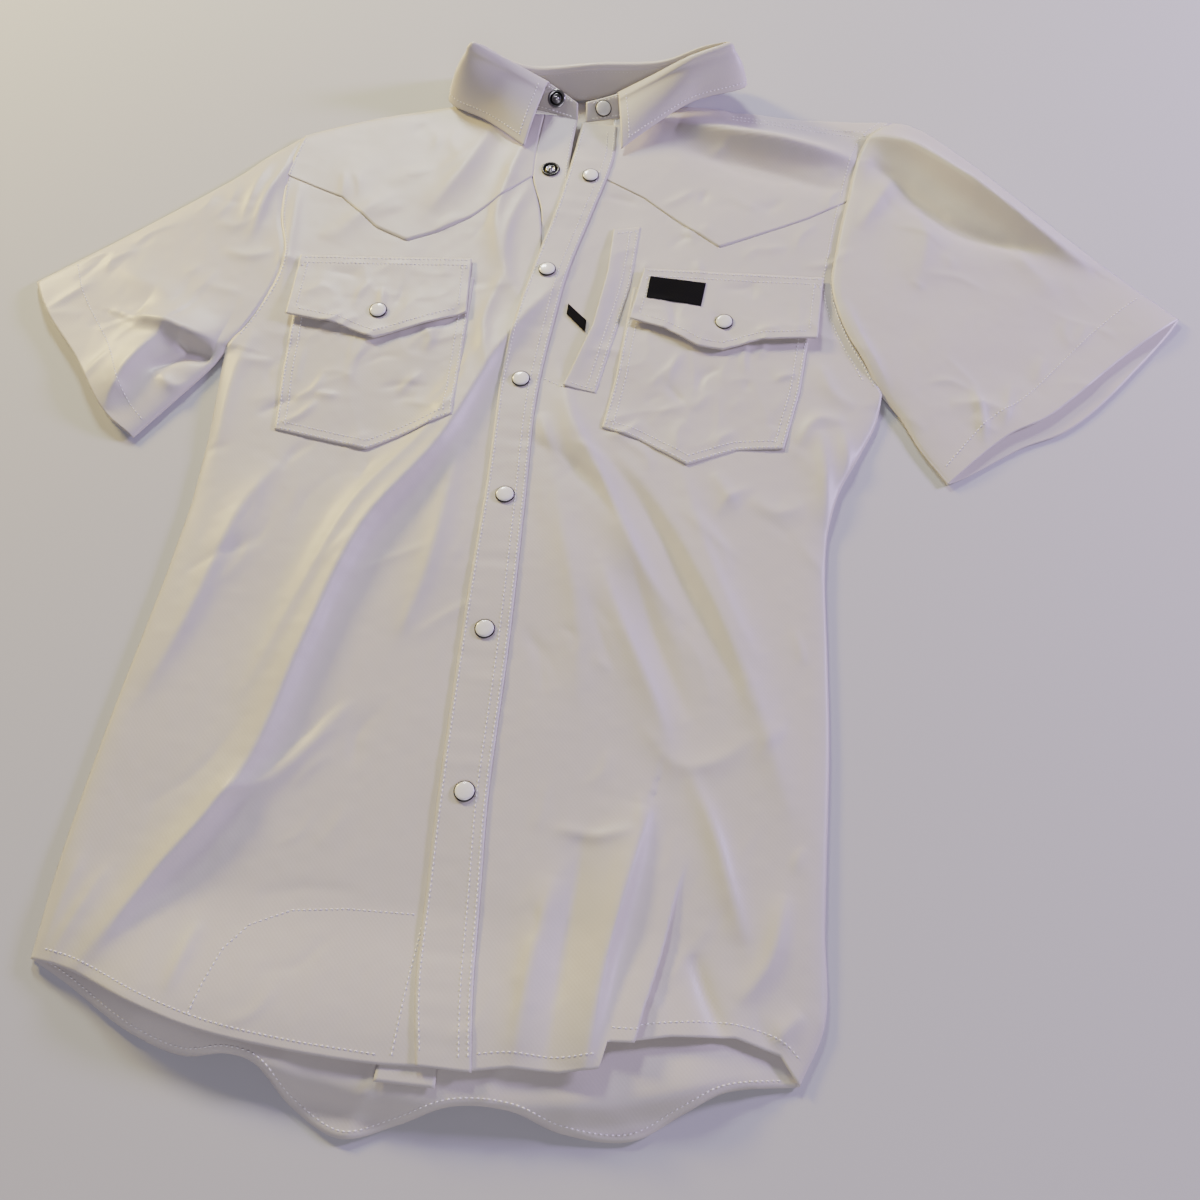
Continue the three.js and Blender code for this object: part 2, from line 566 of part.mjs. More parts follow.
function addSnaps(stand) {
  const seat = (x, y, floor, wall) => ({ at: new THREE.Vector3(x, y, floor(x, y) + wall + SEAM), normal: UP });
  FRONT_SNAPS.forEach(([x, y], i) => addSnap(`snap_${i + 2}`, seat(x, y, onChest, CLOTH + 0.15)));
  FLAP_SNAPS.forEach(([x, y], i) => addSnap(`flap_snap_${i + 1}`, seat(x, y, onPocket, POCKET_WALL)));
  add('chest_socket', snapSocket(), 'socket', seat(...CHEST_SOCKET, upperLayer, CLOTH));

  const columns = stand.grid[0].length - 1;
  const onStand = ({ at, up }) => {
    const i = Math.round(at * columns);
    const from = stand.grid[0][i].clone().lerp(stand.grid[2][i], up);
    const normal = stand.normalAt(i, 1).negate();
    return { at: from.addScaledVector(normal, COLLAR_WALL / 2 + STAND_SNAP_GAP), normal };
  };
  addSnap('snap_1', onStand(COLLAR_SNAP));
  add('collar_socket', snapSocket(), 'socket', onStand(COLLAR_SOCKET));
}

addBack();
addFronts();
addYokes();
addBands();
addSleeves();
addPockets();
const stand = collarStand(COLLAR_COLUMNS);
add('collar_stand', stand.geometry, 'shirting');
add('collar_leaf', collarLeaf(COLLAR_COLUMNS).geometry, 'shirting');
addSnaps(stand);

// Put the origin under the middle of the whole shirt, on the surface it lies on.
shirt.updateMatrixWorld(true);
const extent = new THREE.Box3().setFromObject(shirt, true);
const middle = extent.getCenter(new THREE.Vector3());
shirt.position.set(-middle.x, -middle.y, -extent.min.z);
shirt.updateMatrixWorld(true);

export default shirt;
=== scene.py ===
"""Short sleeve snap-front shirt, laid on its back: cloth pieces, stitching, snaps and a plain stage."""

import math

import bmesh
import bpy
import numpy as np
from mathutils import Matrix, Vector


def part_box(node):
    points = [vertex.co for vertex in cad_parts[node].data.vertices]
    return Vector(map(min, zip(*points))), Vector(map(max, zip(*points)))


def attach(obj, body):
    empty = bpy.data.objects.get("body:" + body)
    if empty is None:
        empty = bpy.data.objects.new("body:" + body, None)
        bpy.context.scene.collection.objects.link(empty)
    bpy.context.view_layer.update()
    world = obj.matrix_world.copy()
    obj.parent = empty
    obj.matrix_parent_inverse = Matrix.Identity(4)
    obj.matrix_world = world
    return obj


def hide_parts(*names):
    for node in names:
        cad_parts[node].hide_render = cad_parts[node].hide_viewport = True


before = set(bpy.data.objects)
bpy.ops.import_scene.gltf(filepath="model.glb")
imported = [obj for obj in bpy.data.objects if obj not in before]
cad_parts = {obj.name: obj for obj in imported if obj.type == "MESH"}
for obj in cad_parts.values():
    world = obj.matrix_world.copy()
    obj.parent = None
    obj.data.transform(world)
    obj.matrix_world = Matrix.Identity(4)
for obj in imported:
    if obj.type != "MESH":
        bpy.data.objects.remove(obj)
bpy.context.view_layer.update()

bl_info = {
    "name": "Snap-front shirt",
    "version": (1, 0, 0),
    "blender": (4, 5, 0),
    "location": "3D View > Sidebar > Shirt",
    "description": "Builds a short sleeve snap-front shirt that lies on its back",
    "category": "Add Mesh",
}

# ---------------------------------------------------------------- sizes, in millimetres
# Plans are written round the centre front (x = 0) and the middle snap (y = 0), as cut.
MM = 0.001
MIDDLE_SNAP = (-4.0, -5.5)
_low, _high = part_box("snap_5_rim")
SHIFT_X = (_low.x + _high.x) / 2 / MM - MIDDLE_SNAP[0]
SHIFT_Y = (_low.y + _high.y) / 2 / MM - MIDDLE_SNAP[1]

SOLID = 1.0           # wall of the solid under each piece
SEAM = 0.3            # gap between solids
UNDER = SOLID + SEAM  # lowest underside of the upper layer
LOFT = 2.6            # how far the upper layer stands off the back
EDGE_ROUND = 14.0     # width of the rolled side edges
TAIL_LIFT = 9.0       # height of the soft roll under the hem
BACK_TOP = 0.55       # upper face of the back where it lies on the floor
SLEEVE_LOW = 0.6      # upper face of a sleeve's lower layer

SIDE_LEFT = [(-211, -312), (-212, -260), (-209, -181), (-202, -81), (-200, -31), (-202, 19), (-206, 59),
             (-209, 86)]
ARMHOLE_LEFT = [(-209, 86), (-196, 122), (-188, 156), (-188, 177), (-198, 210), (-203, 250)]
ARMHOLE_LEFT_YOKE = [(-203, 250), (-202, 270), (-199, 294)]
SHOULDER_LEFT = [(-199, 294), (-173, 307), (-148, 318), (-118, 328), (-90, 337), (-55, 334), (-24, 334)]
YOKE_LEFT = [(-203, 250), (-158, 233), (-128, 207), (-105, 197), (-83, 209), (-63, 224), (-43, 246), (-24, 268)]
HEM_LEFT = [(-211, -312), (-188, -316), (-147, -330), (-111, -339), (-66, -344), (-20, -346)]
SIDE_RIGHT = [(192, -331), (204, -300), (203, -250), (203, -151), (201, -101), (198, -41), (199, -10),
              (206, 22), (218, 50), (229, 78), (232, 99)]
ARMHOLE_RIGHT = [(232, 99), (221, 123), (211, 143), (203, 166), (199, 189), (202, 222), (205, 246), (209, 270)]
ARMHOLE_RIGHT_YOKE = [(209, 270), (213, 296), (220, 324), (240, 355)]
SHOULDER_RIGHT = [(30, 333), (60, 340), (92, 348), (129, 353), (172, 350), (211, 352), (240, 355)]
YOKE_RIGHT = [(28, 272), (60, 256), (90, 233), (117, 214), (144, 229), (178, 248), (209, 270)]
HEM_RIGHT = [(23, -342), (45, -338), (70, -338), (90, -334), (93, -321), (110, -320), (129, -315), (159, -312),
             (182, -318), (192, -331)]
NECK_BACK = [(-199, 294), (-148, 318), (-95, 338), (-48, 352), (12, 354), (65, 356), (102, 358), (135, 353),
             (172, 350), (211, 352), (240, 355)]
TAIL = [(-211, -312), (-189, -322), (-149, -342), (-119, -350), (-95, -347), (-80, -350), (-60, -367), (-32, -379),
        (-5, -370), (21, -359), (50, -358), (75, -365), (110, -365), (135, -350), (155, -338), (192, -331)]

# Columns: y, left x, right x.
PLACKET = [(-343, 1, 29), (-301, -7, 23), (-242, -11, 18), (-202, -13, 15), (-104, -16, 13), (-5, -17, 9),
           (54, -19, 6), (84, -20, 6), (143, -16, 10), (183, -11, 14), (232, -3, 23), (291, 4, 34), (325, 7, 33)]
UNDER_PLACKET = [(-352, -19, 12), (-263, -10, 8), (-200, -10, 5), (-100, -13, 3), (0, -14, -1), (60, -16, -4),
                 (90, -17, -4), (143, -13, 0), (183, -10, 4), (232, -12, 8), (268, -23, 3), (300, -24, 2),
                 (332, -23, 3)]
UNDER_TOP_FROM = 268

SLEEVE_LEFT = {"top": [(-199, 294), (-224, 267), (-238, 249), (-294, 192), (-355, 134)],
               "cuff": [(-355, 134), (-337, 106), (-306, 71), (-273, 29), (-251, 14)],
               "under": [(-209, 86), (-216, 72), (-232, 45), (-251, 14)], "loft": 4.4, "cuff_loft": 4.6}
SLEEVE_RIGHT = {"top": [(240, 355), (249, 355), (264, 348), (296, 321), (336, 281), (381, 235),
                        (435, 186)],
                "cuff": [(435, 186), (394, 148), (340, 93), (313, 75), (274, 35)],
                "under": [(232, 99), (244, 83), (257, 59), (274, 35)], "loft": 6.0, "cuff_loft": 2.7}
SLEEVE_EDGE = 1.7

POCKET_LEFT = {"top": [(-172, 158), (-51, 168)], "left": [(-160, 28), (-166, 76), (-172, 158)],
               "right": [(-46, 48), (-48, 86), (-51, 168)], "bottom": [(-160, 28), (-98, 19), (-46, 48)]}
FLAP_LEFT = {"top": [(-175, 174), (-55, 184)], "left": [(-173, 120), (-175, 174)],
             "right": [(-51, 135), (-55, 184)], "bottom": [(-173, 120), (-137, 115), (-110, 106), (-51, 135)]}
POCKET_RIGHT = {"top": [(60, 172), (186, 176)], "left": [(51, 52), (56, 95), (60, 172)],
                "right": [(169, 48), (178, 95), (186, 176)],
                "bottom": [(51, 52), (76, 45), (108, 29), (139, 44), (169, 48)]}
FLAP_RIGHT = {"top": [(66, 188), (191, 193)], "left": [(60, 142), (66, 188)], "right": [(188, 138), (191, 193)],
              "bottom": [(60, 142), (85, 135), (108, 123), (125, 122), (149, 132), (188, 138)]}
STRIP = {"top": [(41, 224), (60, 228)], "left": [(22, 82), (36, 133), (41, 183), (41, 224)],
         "right": [(44, 79), (51, 124), (58, 173), (60, 228)], "bottom": [(22, 82), (44, 79)]}
TAB = {"top": [(17, 152), (31, 139)], "left": [(17, 143), (17, 152)], "right": [(31, 129), (31, 139)],
       "bottom": [(17, 143), (31, 129)]}
LABEL = {"top": [(71, 181), (110, 179)], "left": [(70, 161), (71, 181)], "right": [(108, 158), (110, 179)],
         "bottom": [(70, 161), (108, 158)]}
FLAP_RISE = 4.2

FRONT_SNAPS = [(19, 272), (-1, 179), (-6.5, 85), (-4, -5.5), (-2.5, -99), (1.5, -199)]
FLAP_SNAPS = [(-111, 130), (124.5, 146)]
CHEST_SOCKET = (-11, 276)
COLLAR_SNAP = (0.965, 0.5)       # share round the stand, and up it
COLLAR_SOCKET = (0.048, 0.6)

# Collar rows from the left front end round the neck: foot of the stand, roll line, leaf's free edge.
COLLAR = [
    ((3, 328, 5.8), (2, 339, 15), None),
    ((-24, 335.5, 5.8), (-21, 351, 21), (-33, 294, 9.5)),
    ((-55, 338, 5.8), (-47, 354, 33), (-64, 317, 9)),
    ((-80, 345, 5), (-76, 356, 46.5), (-97, 338, 7)),
    ((-79, 352, 3), (-70, 361, 38), (-88, 368, 8)),
    ((-45, 354, 1.8), (-42, 361, 21), (-46, 378, 4)),
    ((12, 355, 1.8), (14, 366, 25), (15, 380, 3)),
    ((65, 357, 1.8), (62, 368, 30), (68, 384, 4)),
    ((95, 366, 5), (92, 375, 41), (112, 388, 12)),
    ((97, 366, 17), (109, 374, 48), (127, 361, 21)),
    ((74, 352, 18), (82, 363, 43), (88, 341, 20)),
    ((50, 338, 8), (56, 356, 30), (60, 319, 14)),
    ((31, 333.5, 5.8), (31, 349, 18), (39, 299, 9.5)),
    ((9, 327.5, 5.8), (8, 340.5, 15), None),
]
STAND_DROP = 2.4
LEAF_OUT = 1.3
LEAF_BELLY = 2.5

# Sheets: the cut's width and length, the share of that rectangle that the piece fills, the size
# of the mesh's cells, and the thickness where it isn't the plain shirting's.
CUTS = {
    "back_panel": (444, 735, 0.86, 3.2, None),
    "front_right_hand_panel": (216, 616, 0.88, 1.9, None),
    "front_left_hand_panel": (240, 616, 0.86, 1.85, None),
    "yoke_right_hand_panel": (182, 137, 0.6, 1.9, None),
    "yoke_left_hand_panel": (186, 139, 0.7, 1.9, None),
    "under_band": (29, 682, 0.66, 2.0, None),
    "front_band": (30, 672, 0.92, 1.6, 0.9),
    "sleeve_right_hand_tube": (430, 215, 0.7, 2.1, None),
    "sleeve_left_hand_tube": (520, 280, 0.7, 2.1, None),
    "collar_stand_band": (410, 34, 0.88, None, 0.9),
    "collar_leaf_fold": (445, 58, 0.8, None, 1.0),
    "pocket_right_hand_patch": (127, 142, 0.88, 1.5, 0.7),
    "pocket_left_hand_patch": (132, 146, 0.88, 1.5, 0.7),
    "flap_right_hand_patch": (126, 78, 0.72, 1.3, 1.0),
    "flap_left_hand_patch": (126, 78, 0.72, 1.3, 1.0),
    "pen_slot_strip": (23, 150, 0.9, 1.2, 0.8),
    "slot_tab": (20, 10, 0.9, 0.8, 0.6),
    "black_label": (40, 21, 0.95, 1.0, 0.4),
}

# Folds: the line of the crest, its height (below nought for a trough), and the widths of its
# two slopes, on the wearer's left of the line and on the wearer's right of it.
FOLDS = [
    # long ridges of the right-hand front, from the second snap down to the hem's corner
    ([(6, 165), (-24, 110), (-51, 30), (-87, -38), (-106, -118), (-122, -200), (-154, -260), (-184, -312)],
     10.0, 6, 15),
    ([(-34, 120), (-58, 44), (-96, -20), (-118, -90), (-134, -150)], 3.0, 6, 8),
    ([(-39, 30), (-43, -57), (-52, -110)], 3.6, 7, 9),
    ([(-150, 4), (-161, -19), (-168, -42), (-179, -106), (-193, -160)], 4.6, 6, 11),
    ([(-84, -172), (-112, -206), (-129, -216), (-137, -232), (-156, -262), (-176, -306)], 3.4, 4, 7),
    ([(-70, -150), (-98, -196), (-120, -226)], 1.4, 6, 4),
    ([(-126, -284), (-132, -322)], 1.5, 3, 4),
    ([(-183, -260), (-193, -290), (-200, -314)], 2.2, 5, 5),
    ([(-199, -255), (-204, -285), (-206, -310)], 1.6, 4, 4),
    # right-hand chest, round the under band and beside the sleeve
    ([(-60, 318), (-70, 280), (-94, 226)], 4.6, 10, 13),
    ([(-30, 318), (-38, 276), (-44, 230), (-36, 184)], 2.8, 6, 7),
    ([(-24, 262), (-34, 216), (-30, 176), (-14, 150)], 2.6, 5, 8),
    ([(-30, 176), (-38, 130), (-30, 90)], 2.4, 5, 6),
    ([(-192, 245), (-186, 188), (-181, 134)], 2.0, 5, 5),
    ([(-190, 168), (-183, 171), (-172, 168)], 1.2, 4, 4),
    ([(-120, 240), (-140, 222), (-160, 190)], 1.6, 8, 8),
    ([(-192, 110), (-197, 60), (-194, 0)], 2.2, 6, 7),
    # left-hand front: creases that fan from the pen slot down to the side
    ([(8, 38), (27, 28), (48, 11), (70, -20)], -3.4, 6, 7),
    ([(22, 86), (32, 54), (50, 22), (79, -34), (92, -56), (108, -78)], 6.0, 5, 12),
    ([(61, -48), (77, -84), (100, -130), (112, -160)], 4.2, 5, 9),
    ([(79, -43), (99, -95), (123, -143)], -3.0, 7, 8),
    ([(62, 34), (92, -2), (128, -62), (160, -130), (182, -196)], 5.0, 10, 12),
    ([(46, 40), (81, 1), (117, -59), (151, -127)], -3.8, 9, 8),
    ([(104, 26), (124, -30), (142, -70), (160, -104)], 2.6, 6, 9),
    ([(126, 26), (134, 12), (142, 0)], 1.4, 4, 4),
    ([(148, 16), (136, 8), (130, -6)], 1.2, 4, 4),
    ([(22, 20), (36, -30), (50, -80), (58, -140)], 3.2, 13, 10),
    ([(10, 60), (20, 34), (36, 18)], 2.4, 4, 6),
    ([(126, -176), (138, -200), (150, -232), (163, -266)], 3.6, 4, 6),
    ([(96, -150), (118, -170), (136, -168), (160, -150)], 2.0, 7, 8),
    ([(138, -272), (145, -294), (154, -314)], -3.4, 4, 3),
    ([(181, -236), (175, -272), (160, -296)], 3.4, 5, 6),
    ([(192, -296), (178, -313)], 2.0, 4, 5),
    ([(54, -214), (78, -216), (97, -210)], 1.6, 3, 4),
    ([(57, -240), (51, -285), (49, -336)], 4.6, 8, 7),
    ([(70, -214), (67, -278), (64, -338)], -3.4, 8, 6),
    ([(104, -196), (96, -240), (89, -281), (84, -336)], 8.5, 4, 16),
    # side of the left-hand front under its sleeve
    ([(192, 66), (196, 30), (198, -6)], 3.6, 5, 7),
    ([(178, 52), (190, 74), (208, 74)], 2.6, 6, 5),
    ([(206, 70), (212, 30), (206, 0)], 3.0, 4, 6),
    ([(190, 120), (200, 96), (214, 86)], 2.0, 5, 6),
    ([(150, 10), (166, 0), (184, 8)], 1.6, 6, 6),
    # shoulder and sleeve of the left hand: rolls that lie over a deep trough
    ([(78, 330), (125, 319), (169, 312), (214, 306)], 14.0, 13, 8),
    ([(84, 308), (127, 297), (171, 286), (212, 278)], -3.4, 7, 9),
    ([(220, 332), (250, 320), (285, 290), (336, 249), (374, 225)], 17.0, 13, 6),
    ([(222, 310), (242, 294), (262, 272), (284, 252), (310, 242), (345, 236)], -6.0, 5, 9),
    ([(240, 296), (228, 268), (214, 240)], 3.4, 6, 9),
    ([(254, 270), (262, 234), (256, 196)], 2.6, 9, 12),
    ([(300, 240), (330, 222), (352, 196)], 2.2, 9, 12),
    ([(206, 172), (216, 146), (236, 104)], 2.0, 3, 6),
    ([(292, 112), (296, 92), (298, 68)], 2.0, 3, 3),
    ([(276, 96), (300, 98), (316, 92)], 1.8, 4, 6),
    ([(318, 118), (314, 100), (310, 80)], 1.1, 3, 3),
    ([(340, 142), (334, 120)], 1.0, 4, 4),
    ([(372, 176), (362, 152)], 0.9, 4, 4),
    # sleeve of the right hand, crumpled at the underarm
    ([(-274, 106), (-252, 101), (-234, 95), (-214, 92)], 10.0, 16, 5),
    ([(-240, 91), (-228, 84), (-216, 79)], -7.0, 4, 4),
    ([(-250, 100), (-259, 80), (-268, 56), (-274, 30)], 9.0, 6, 18),
    ([(-254, 66), (-238, 78), (-216, 84)], -5.0, 3, 3),
    ([(-246, 62), (-234, 54), (-222, 58)], 2.4, 4, 4),
    ([(-300, 150), (-270, 134), (-250, 128)], 2.0, 12, 12),
    ([(-204, 262), (-212, 224), (-214, 188)], 2.8, 4, 5),
    ([(-218, 262), (-222, 230), (-224, 200)], 2.0, 5, 5),
    ([(-196, 176), (-212, 170), (-230, 174)], 1.3, 3, 4),
    ([(-270, 50), (-262, 42)], 1.4, 3, 3),
]
CREST_SOFTNESS = 0.9

# Small creases, scattered: left, right, bottom and top of a field, how many, the way most of
# them run in degrees, how far that strays, their length and their height.
CREASES = [
    (-190, -40, -330, -120, 12, 55, 25, 60, 0.55),
    (-200, -20, -110, 10, 16, 60, 30, 44, 0.6),
    (-190, -30, 20, 320, 44, 40, 70, 30, 0.75),
    (10, 190, -320, -140, 20, 80, 35, 36, 0.6),
    (20, 195, -130, 40, 22, 125, 30, 44, 0.65),
    (40, 205, 40, 330, 44, 30, 80, 28, 0.75),
    (-340, -215, 30, 280, 34, 35, 60, 32, 0.8),
    (225, 400, 60, 330, 30, 140, 55, 34, 0.75),
    (-165, -50, 40, 150, 16, 30, 80, 26, 1.1),
    (60, 180, 50, 160, 16, 50, 80, 26, 1.1),
]
FOLD_STEPS = 40

# The pleat near the left-hand hem: cloth folded over along a line, as it runs downwards.
PLEAT = [(131, -212), (126, -235), (121, -272), (114, -303), (108, -330)]
PLEAT_RISE = 4.2      # the upper fold lies this far over the lower one
PLEAT_HALF = 2.6      # half the width of its turned edge
PLEAT_LAP = 8.5       # how far the lower fold is drawn under it
PLEAT_REACH = 24.0    # how far from the edge the cloth is moved

# ---------------------------------------------------------------- curves
def spline(points, steps=24):
    """A smooth line through points of any dimension, densely sampled."""
    pts = np.asarray(points, float)
    if len(pts) < 3:
        return pts
    chord = np.sqrt(np.linalg.norm(np.diff(pts, axis=0), axis=1)) + 1e-9
    knots = np.concatenate([[0], np.cumsum(chord)])
    slope = np.gradient(pts, knots, axis=0)
    out = []
    for k in range(len(pts) - 1):
        span = knots[k + 1] - knots[k]
        t = np.linspace(0, 1, steps, endpoint=False)[:, None]
        h00, h10 = 2 * t**3 - 3 * t**2 + 1, t**3 - 2 * t**2 + t
        h01, h11 = -2 * t**3 + 3 * t**2, t**3 - t**2
        out.append(h00 * pts[k] + h10 * span * slope[k] + h01 * pts[k + 1] + h11 * span * slope[k + 1])
    return np.vstack(out + [pts[-1:]])


class Edge:
    """A line that can be read at any share of its length."""

    def __init__(self, *lines, smooth=True):
        parts = [spline(line) if smooth else np.asarray(line, float) for line in lines]
        self.points = np.vstack([parts[0]] + [part[1:] for part in parts[1:]])
        steps = np.linalg.norm(np.diff(self.points, axis=0), axis=1)
        self.length = steps.sum()
        self.share = np.concatenate([[0], np.cumsum(steps)]) / self.length

    def at(self, t):
        return np.stack([np.interp(t, self.share, self.points[:, k]) for k in range(self.points.shape[1])], -1)


def coons(bottom, top, left, right):
    """Plan of a piece between its four edges; u runs to the right and v upwards."""
    def plan(u, v):
        u1, v1 = u[:, None], v[:, None]
        ends = [edge.at(np.array([0.0, 1.0])) for edge in (bottom, top)]
        point = (1 - v1) * bottom.at(u) + v1 * top.at(u) + (1 - u1) * left.at(v) + u1 * right.at(v)
        point -= (1 - u1) * (1 - v1) * ends[0][0] + u1 * (1 - v1) * ends[0][1]
        point -= (1 - u1) * v1 * ends[1][0] + u1 * v1 * ends[1][1]
        return point[:, 0], point[:, 1]
    return plan


# ---------------------------------------------------------------- the lie of the cloth
def smooth01(t):
    t = np.clip(t, 0, 1)
    return t * t * (3 - 2 * t)


def quarter_round(t):
    return np.sqrt(np.maximum(0, 1 - (1 - np.clip(t, 0, 1)) ** 2))


def beside(line, x, y):
    """Distance to a line, the side of it (above nought on its left) and the share along it."""
    a, b = line[:-1], line[1:]
    d = b - a
    length2 = (d**2).sum(1)
    best = np.full(x.shape, np.inf)
    side = np.zeros(x.shape)
    along = np.zeros(x.shape)
    for k in range(len(a)):
        t = np.clip(((x - a[k, 0]) * d[k, 0] + (y - a[k, 1]) * d[k, 1]) / length2[k], 0, 1)
        dx, dy = x - a[k, 0] - t * d[k, 0], y - a[k, 1] - t * d[k, 1]
        distance = np.hypot(dx, dy)
        nearer = distance < best
        best = np.where(nearer, distance, best)
        side = np.where(nearer, np.sign(d[k, 0] * dy - d[k, 1] * dx), side)
        along = np.where(nearer, (k + t) / len(a), along)
    return best, side, along


def scatter_creases():
    rng = np.random.default_rng(23)
    rows = []
    for left, right, bottom, top, count, way, stray, length, height in CREASES:
        for _ in range(count):
            middle = np.array([rng.uniform(left, right), rng.uniform(bottom, top)])
            angle = math.radians(way + rng.normal(0, 0.5) * stray)
            run = np.array([math.cos(angle), math.sin(angle)])
            reach = length * rng.uniform(0.35, 1.2) / 2
            bend = middle + np.array([-run[1], run[0]]) * reach * rng.normal(0, 0.22)
            line = [tuple(middle - run * reach), tuple(bend), tuple(middle + run * reach)]
            crest = height * rng.uniform(0.35, 1.3) * (1 if rng.random() < 0.7 else -1)
            rows.append((line, crest, rng.uniform(1.6, 4.5), rng.uniform(1.6, 4.5)))
    return rows


FOLDS += scatter_creases()
FOLD_LINES = [Edge(line).at(np.linspace(0, 1, FOLD_STEPS if len(line) > 3 else 12)) for line, *_ in FOLDS]


def fold_height(x, y):
    height = np.zeros(x.shape)
    for line, (_, crest, left, right) in zip(FOLD_LINES, FOLDS):
        margin = 4.5 * max(left, right)
        low, high = line.min(0) - margin, line.max(0) + margin
        near = (x > low[0]) & (x < high[0]) & (y > low[1]) & (y < high[1])
        if not near.any():
            continue
        distance, side, along = beside(line, x[near], y[near])
        # the wearer's left of the line is its left as it runs down the cloth
        run = line[-1] - line[0]
        down = side if run[1] < 0 else -side
        width = np.where(down > 0, left, right)
        soft = np.sqrt(distance**2 + CREST_SOFTNESS**2) - CREST_SOFTNESS
        fade = np.sin(math.pi * (0.03 + 0.94 * along)) ** 0.75
        height[near] += crest * fade * np.exp(-((soft / width) ** 1.25))
    return height


PLEAT_LINE = Edge(PLEAT).at(np.linspace(0, 1, FOLD_STEPS))


def pleat(x, y):
    """Where the pleat moves the cloth: sideways, and up."""
    across, rise = np.zeros(x.shape), np.zeros(x.shape)
    near = (x > 40) & (x < 190) & (y < -196)
    if near.any():
        distance, side, along = beside(PLEAT_LINE, x[near], y[near])
        signed = distance * side
        grow = smooth01(along * 1.6)
        turned = 1 - smooth01((signed + PLEAT_HALF) / (2 * PLEAT_HALF))
        reach = np.exp(-((np.maximum(0, -signed - PLEAT_HALF) / PLEAT_REACH) ** 2))
        drawn = np.exp(-np.maximum(0, signed - PLEAT_HALF) / PLEAT_REACH)
        across[near] = -PLEAT_LAP * grow * (1 - turned) * drawn
        rise[near] = PLEAT_RISE * grow * turned * reach
    return across, rise


def tail_roll(x, y):
    climb = smooth01((-262 - y) / 73)
    fall = 1 - smooth01((-355 + 0.0011 * (x - 10) ** 2 - y) / 17)
    ends = smooth01((200 - np.abs(x + 5)) / 60)
    return TAIL_LIFT * climb * fall * ends


def edge_distance(x, y):
    past = np.maximum(0, y - 86)
    left = x - np.interp(y, *np.array(SIDE_LEFT, float).T[::-1]) + past
    right = np.interp(y, *np.array(SIDE_RIGHT, float).T[::-1]) - x + past
    shoulder = np.where(x < 0, np.interp(x, *np.array(SHOULDER_LEFT, float).T),
                        np.interp(x, *np.array(SHOULDER_RIGHT, float).T)) - y
    neck = np.maximum(0, np.minimum(x + 88, 118 - x))
    return np.minimum(np.minimum(left, right), shoulder + neck)


LATTICE = np.random.default_rng(11).random((64, 64))


def ripple(x, y, scale, seed):
    """Low, uneven waves of the cloth, from -1 to 1."""
    a, b = x / scale + 17.3 * seed, y / scale + 9.7 * seed
    i, j = np.floor(a).astype(int), np.floor(b).astype(int)
    p, q = smooth01(a - i), smooth01(b - j)
    i, j, i1, j1 = i % 64, j % 64, (i + 1) % 64, (j + 1) % 64
    low = LATTICE[i, j] * (1 - p) + LATTICE[i1, j] * p
    high = LATTICE[i, j1] * (1 - p) + LATTICE[i1, j1] * p
    return 2 * (low * (1 - q) + high * q) - 1


def crumple(x, y, scale, seed):
    """Crisp small creases between soft hollows, from 0 to 1."""
    bent = ripple(x, y, scale * 1.7, seed + 3) * scale * 0.6
    return (1 - np.abs(ripple(x + bent, y - bent, scale, seed))) ** 4


def upper_layer(x, y, fine=True):
    """Underside of the upper layer."""
    rim = quarter_round(edge_distance(x, y) / EDGE_ROUND)
    z = UNDER + tail_roll(x, y) + rim * (LOFT + fold_height(x, y) + pleat(x, y)[1])
    if fine:
        chest = smooth01((y + 60) / 120)
        z = z + rim * (1.1 * ripple(x, y, 70, 1.0) + (0.2 + 0.25 * chest) * ripple(x, y * 0.7, 24, 5.0)
                       + 0.09 * ripple(x, y, 6, 6.0))
    return np.maximum(z, UNDER)


def on_shirt(x, y, z):
    """From the plan of the shirt, in millimetres, to the frame, in metres."""
    return np.stack([x + SHIFT_X, y + SHIFT_Y, z], -1) * MM


# ---------------------------------------------------------------- pieces
def finish_piece(obj, material, slot, replaced=(), sheet=False):
    obj.data.materials.append(material)
    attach(obj, "root")
    if replaced:
        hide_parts(*replaced)
    if sheet:
        width, length, share, *_ = CUTS[obj.name]
    return obj


def mesh_object(name, bm):
    mesh = bpy.data.meshes.new(name)
    bm.to_mesh(mesh)
    bm.free()
    obj = bpy.data.objects.new(name, mesh)
    bpy.context.scene.collection.objects.link(obj)
    return obj


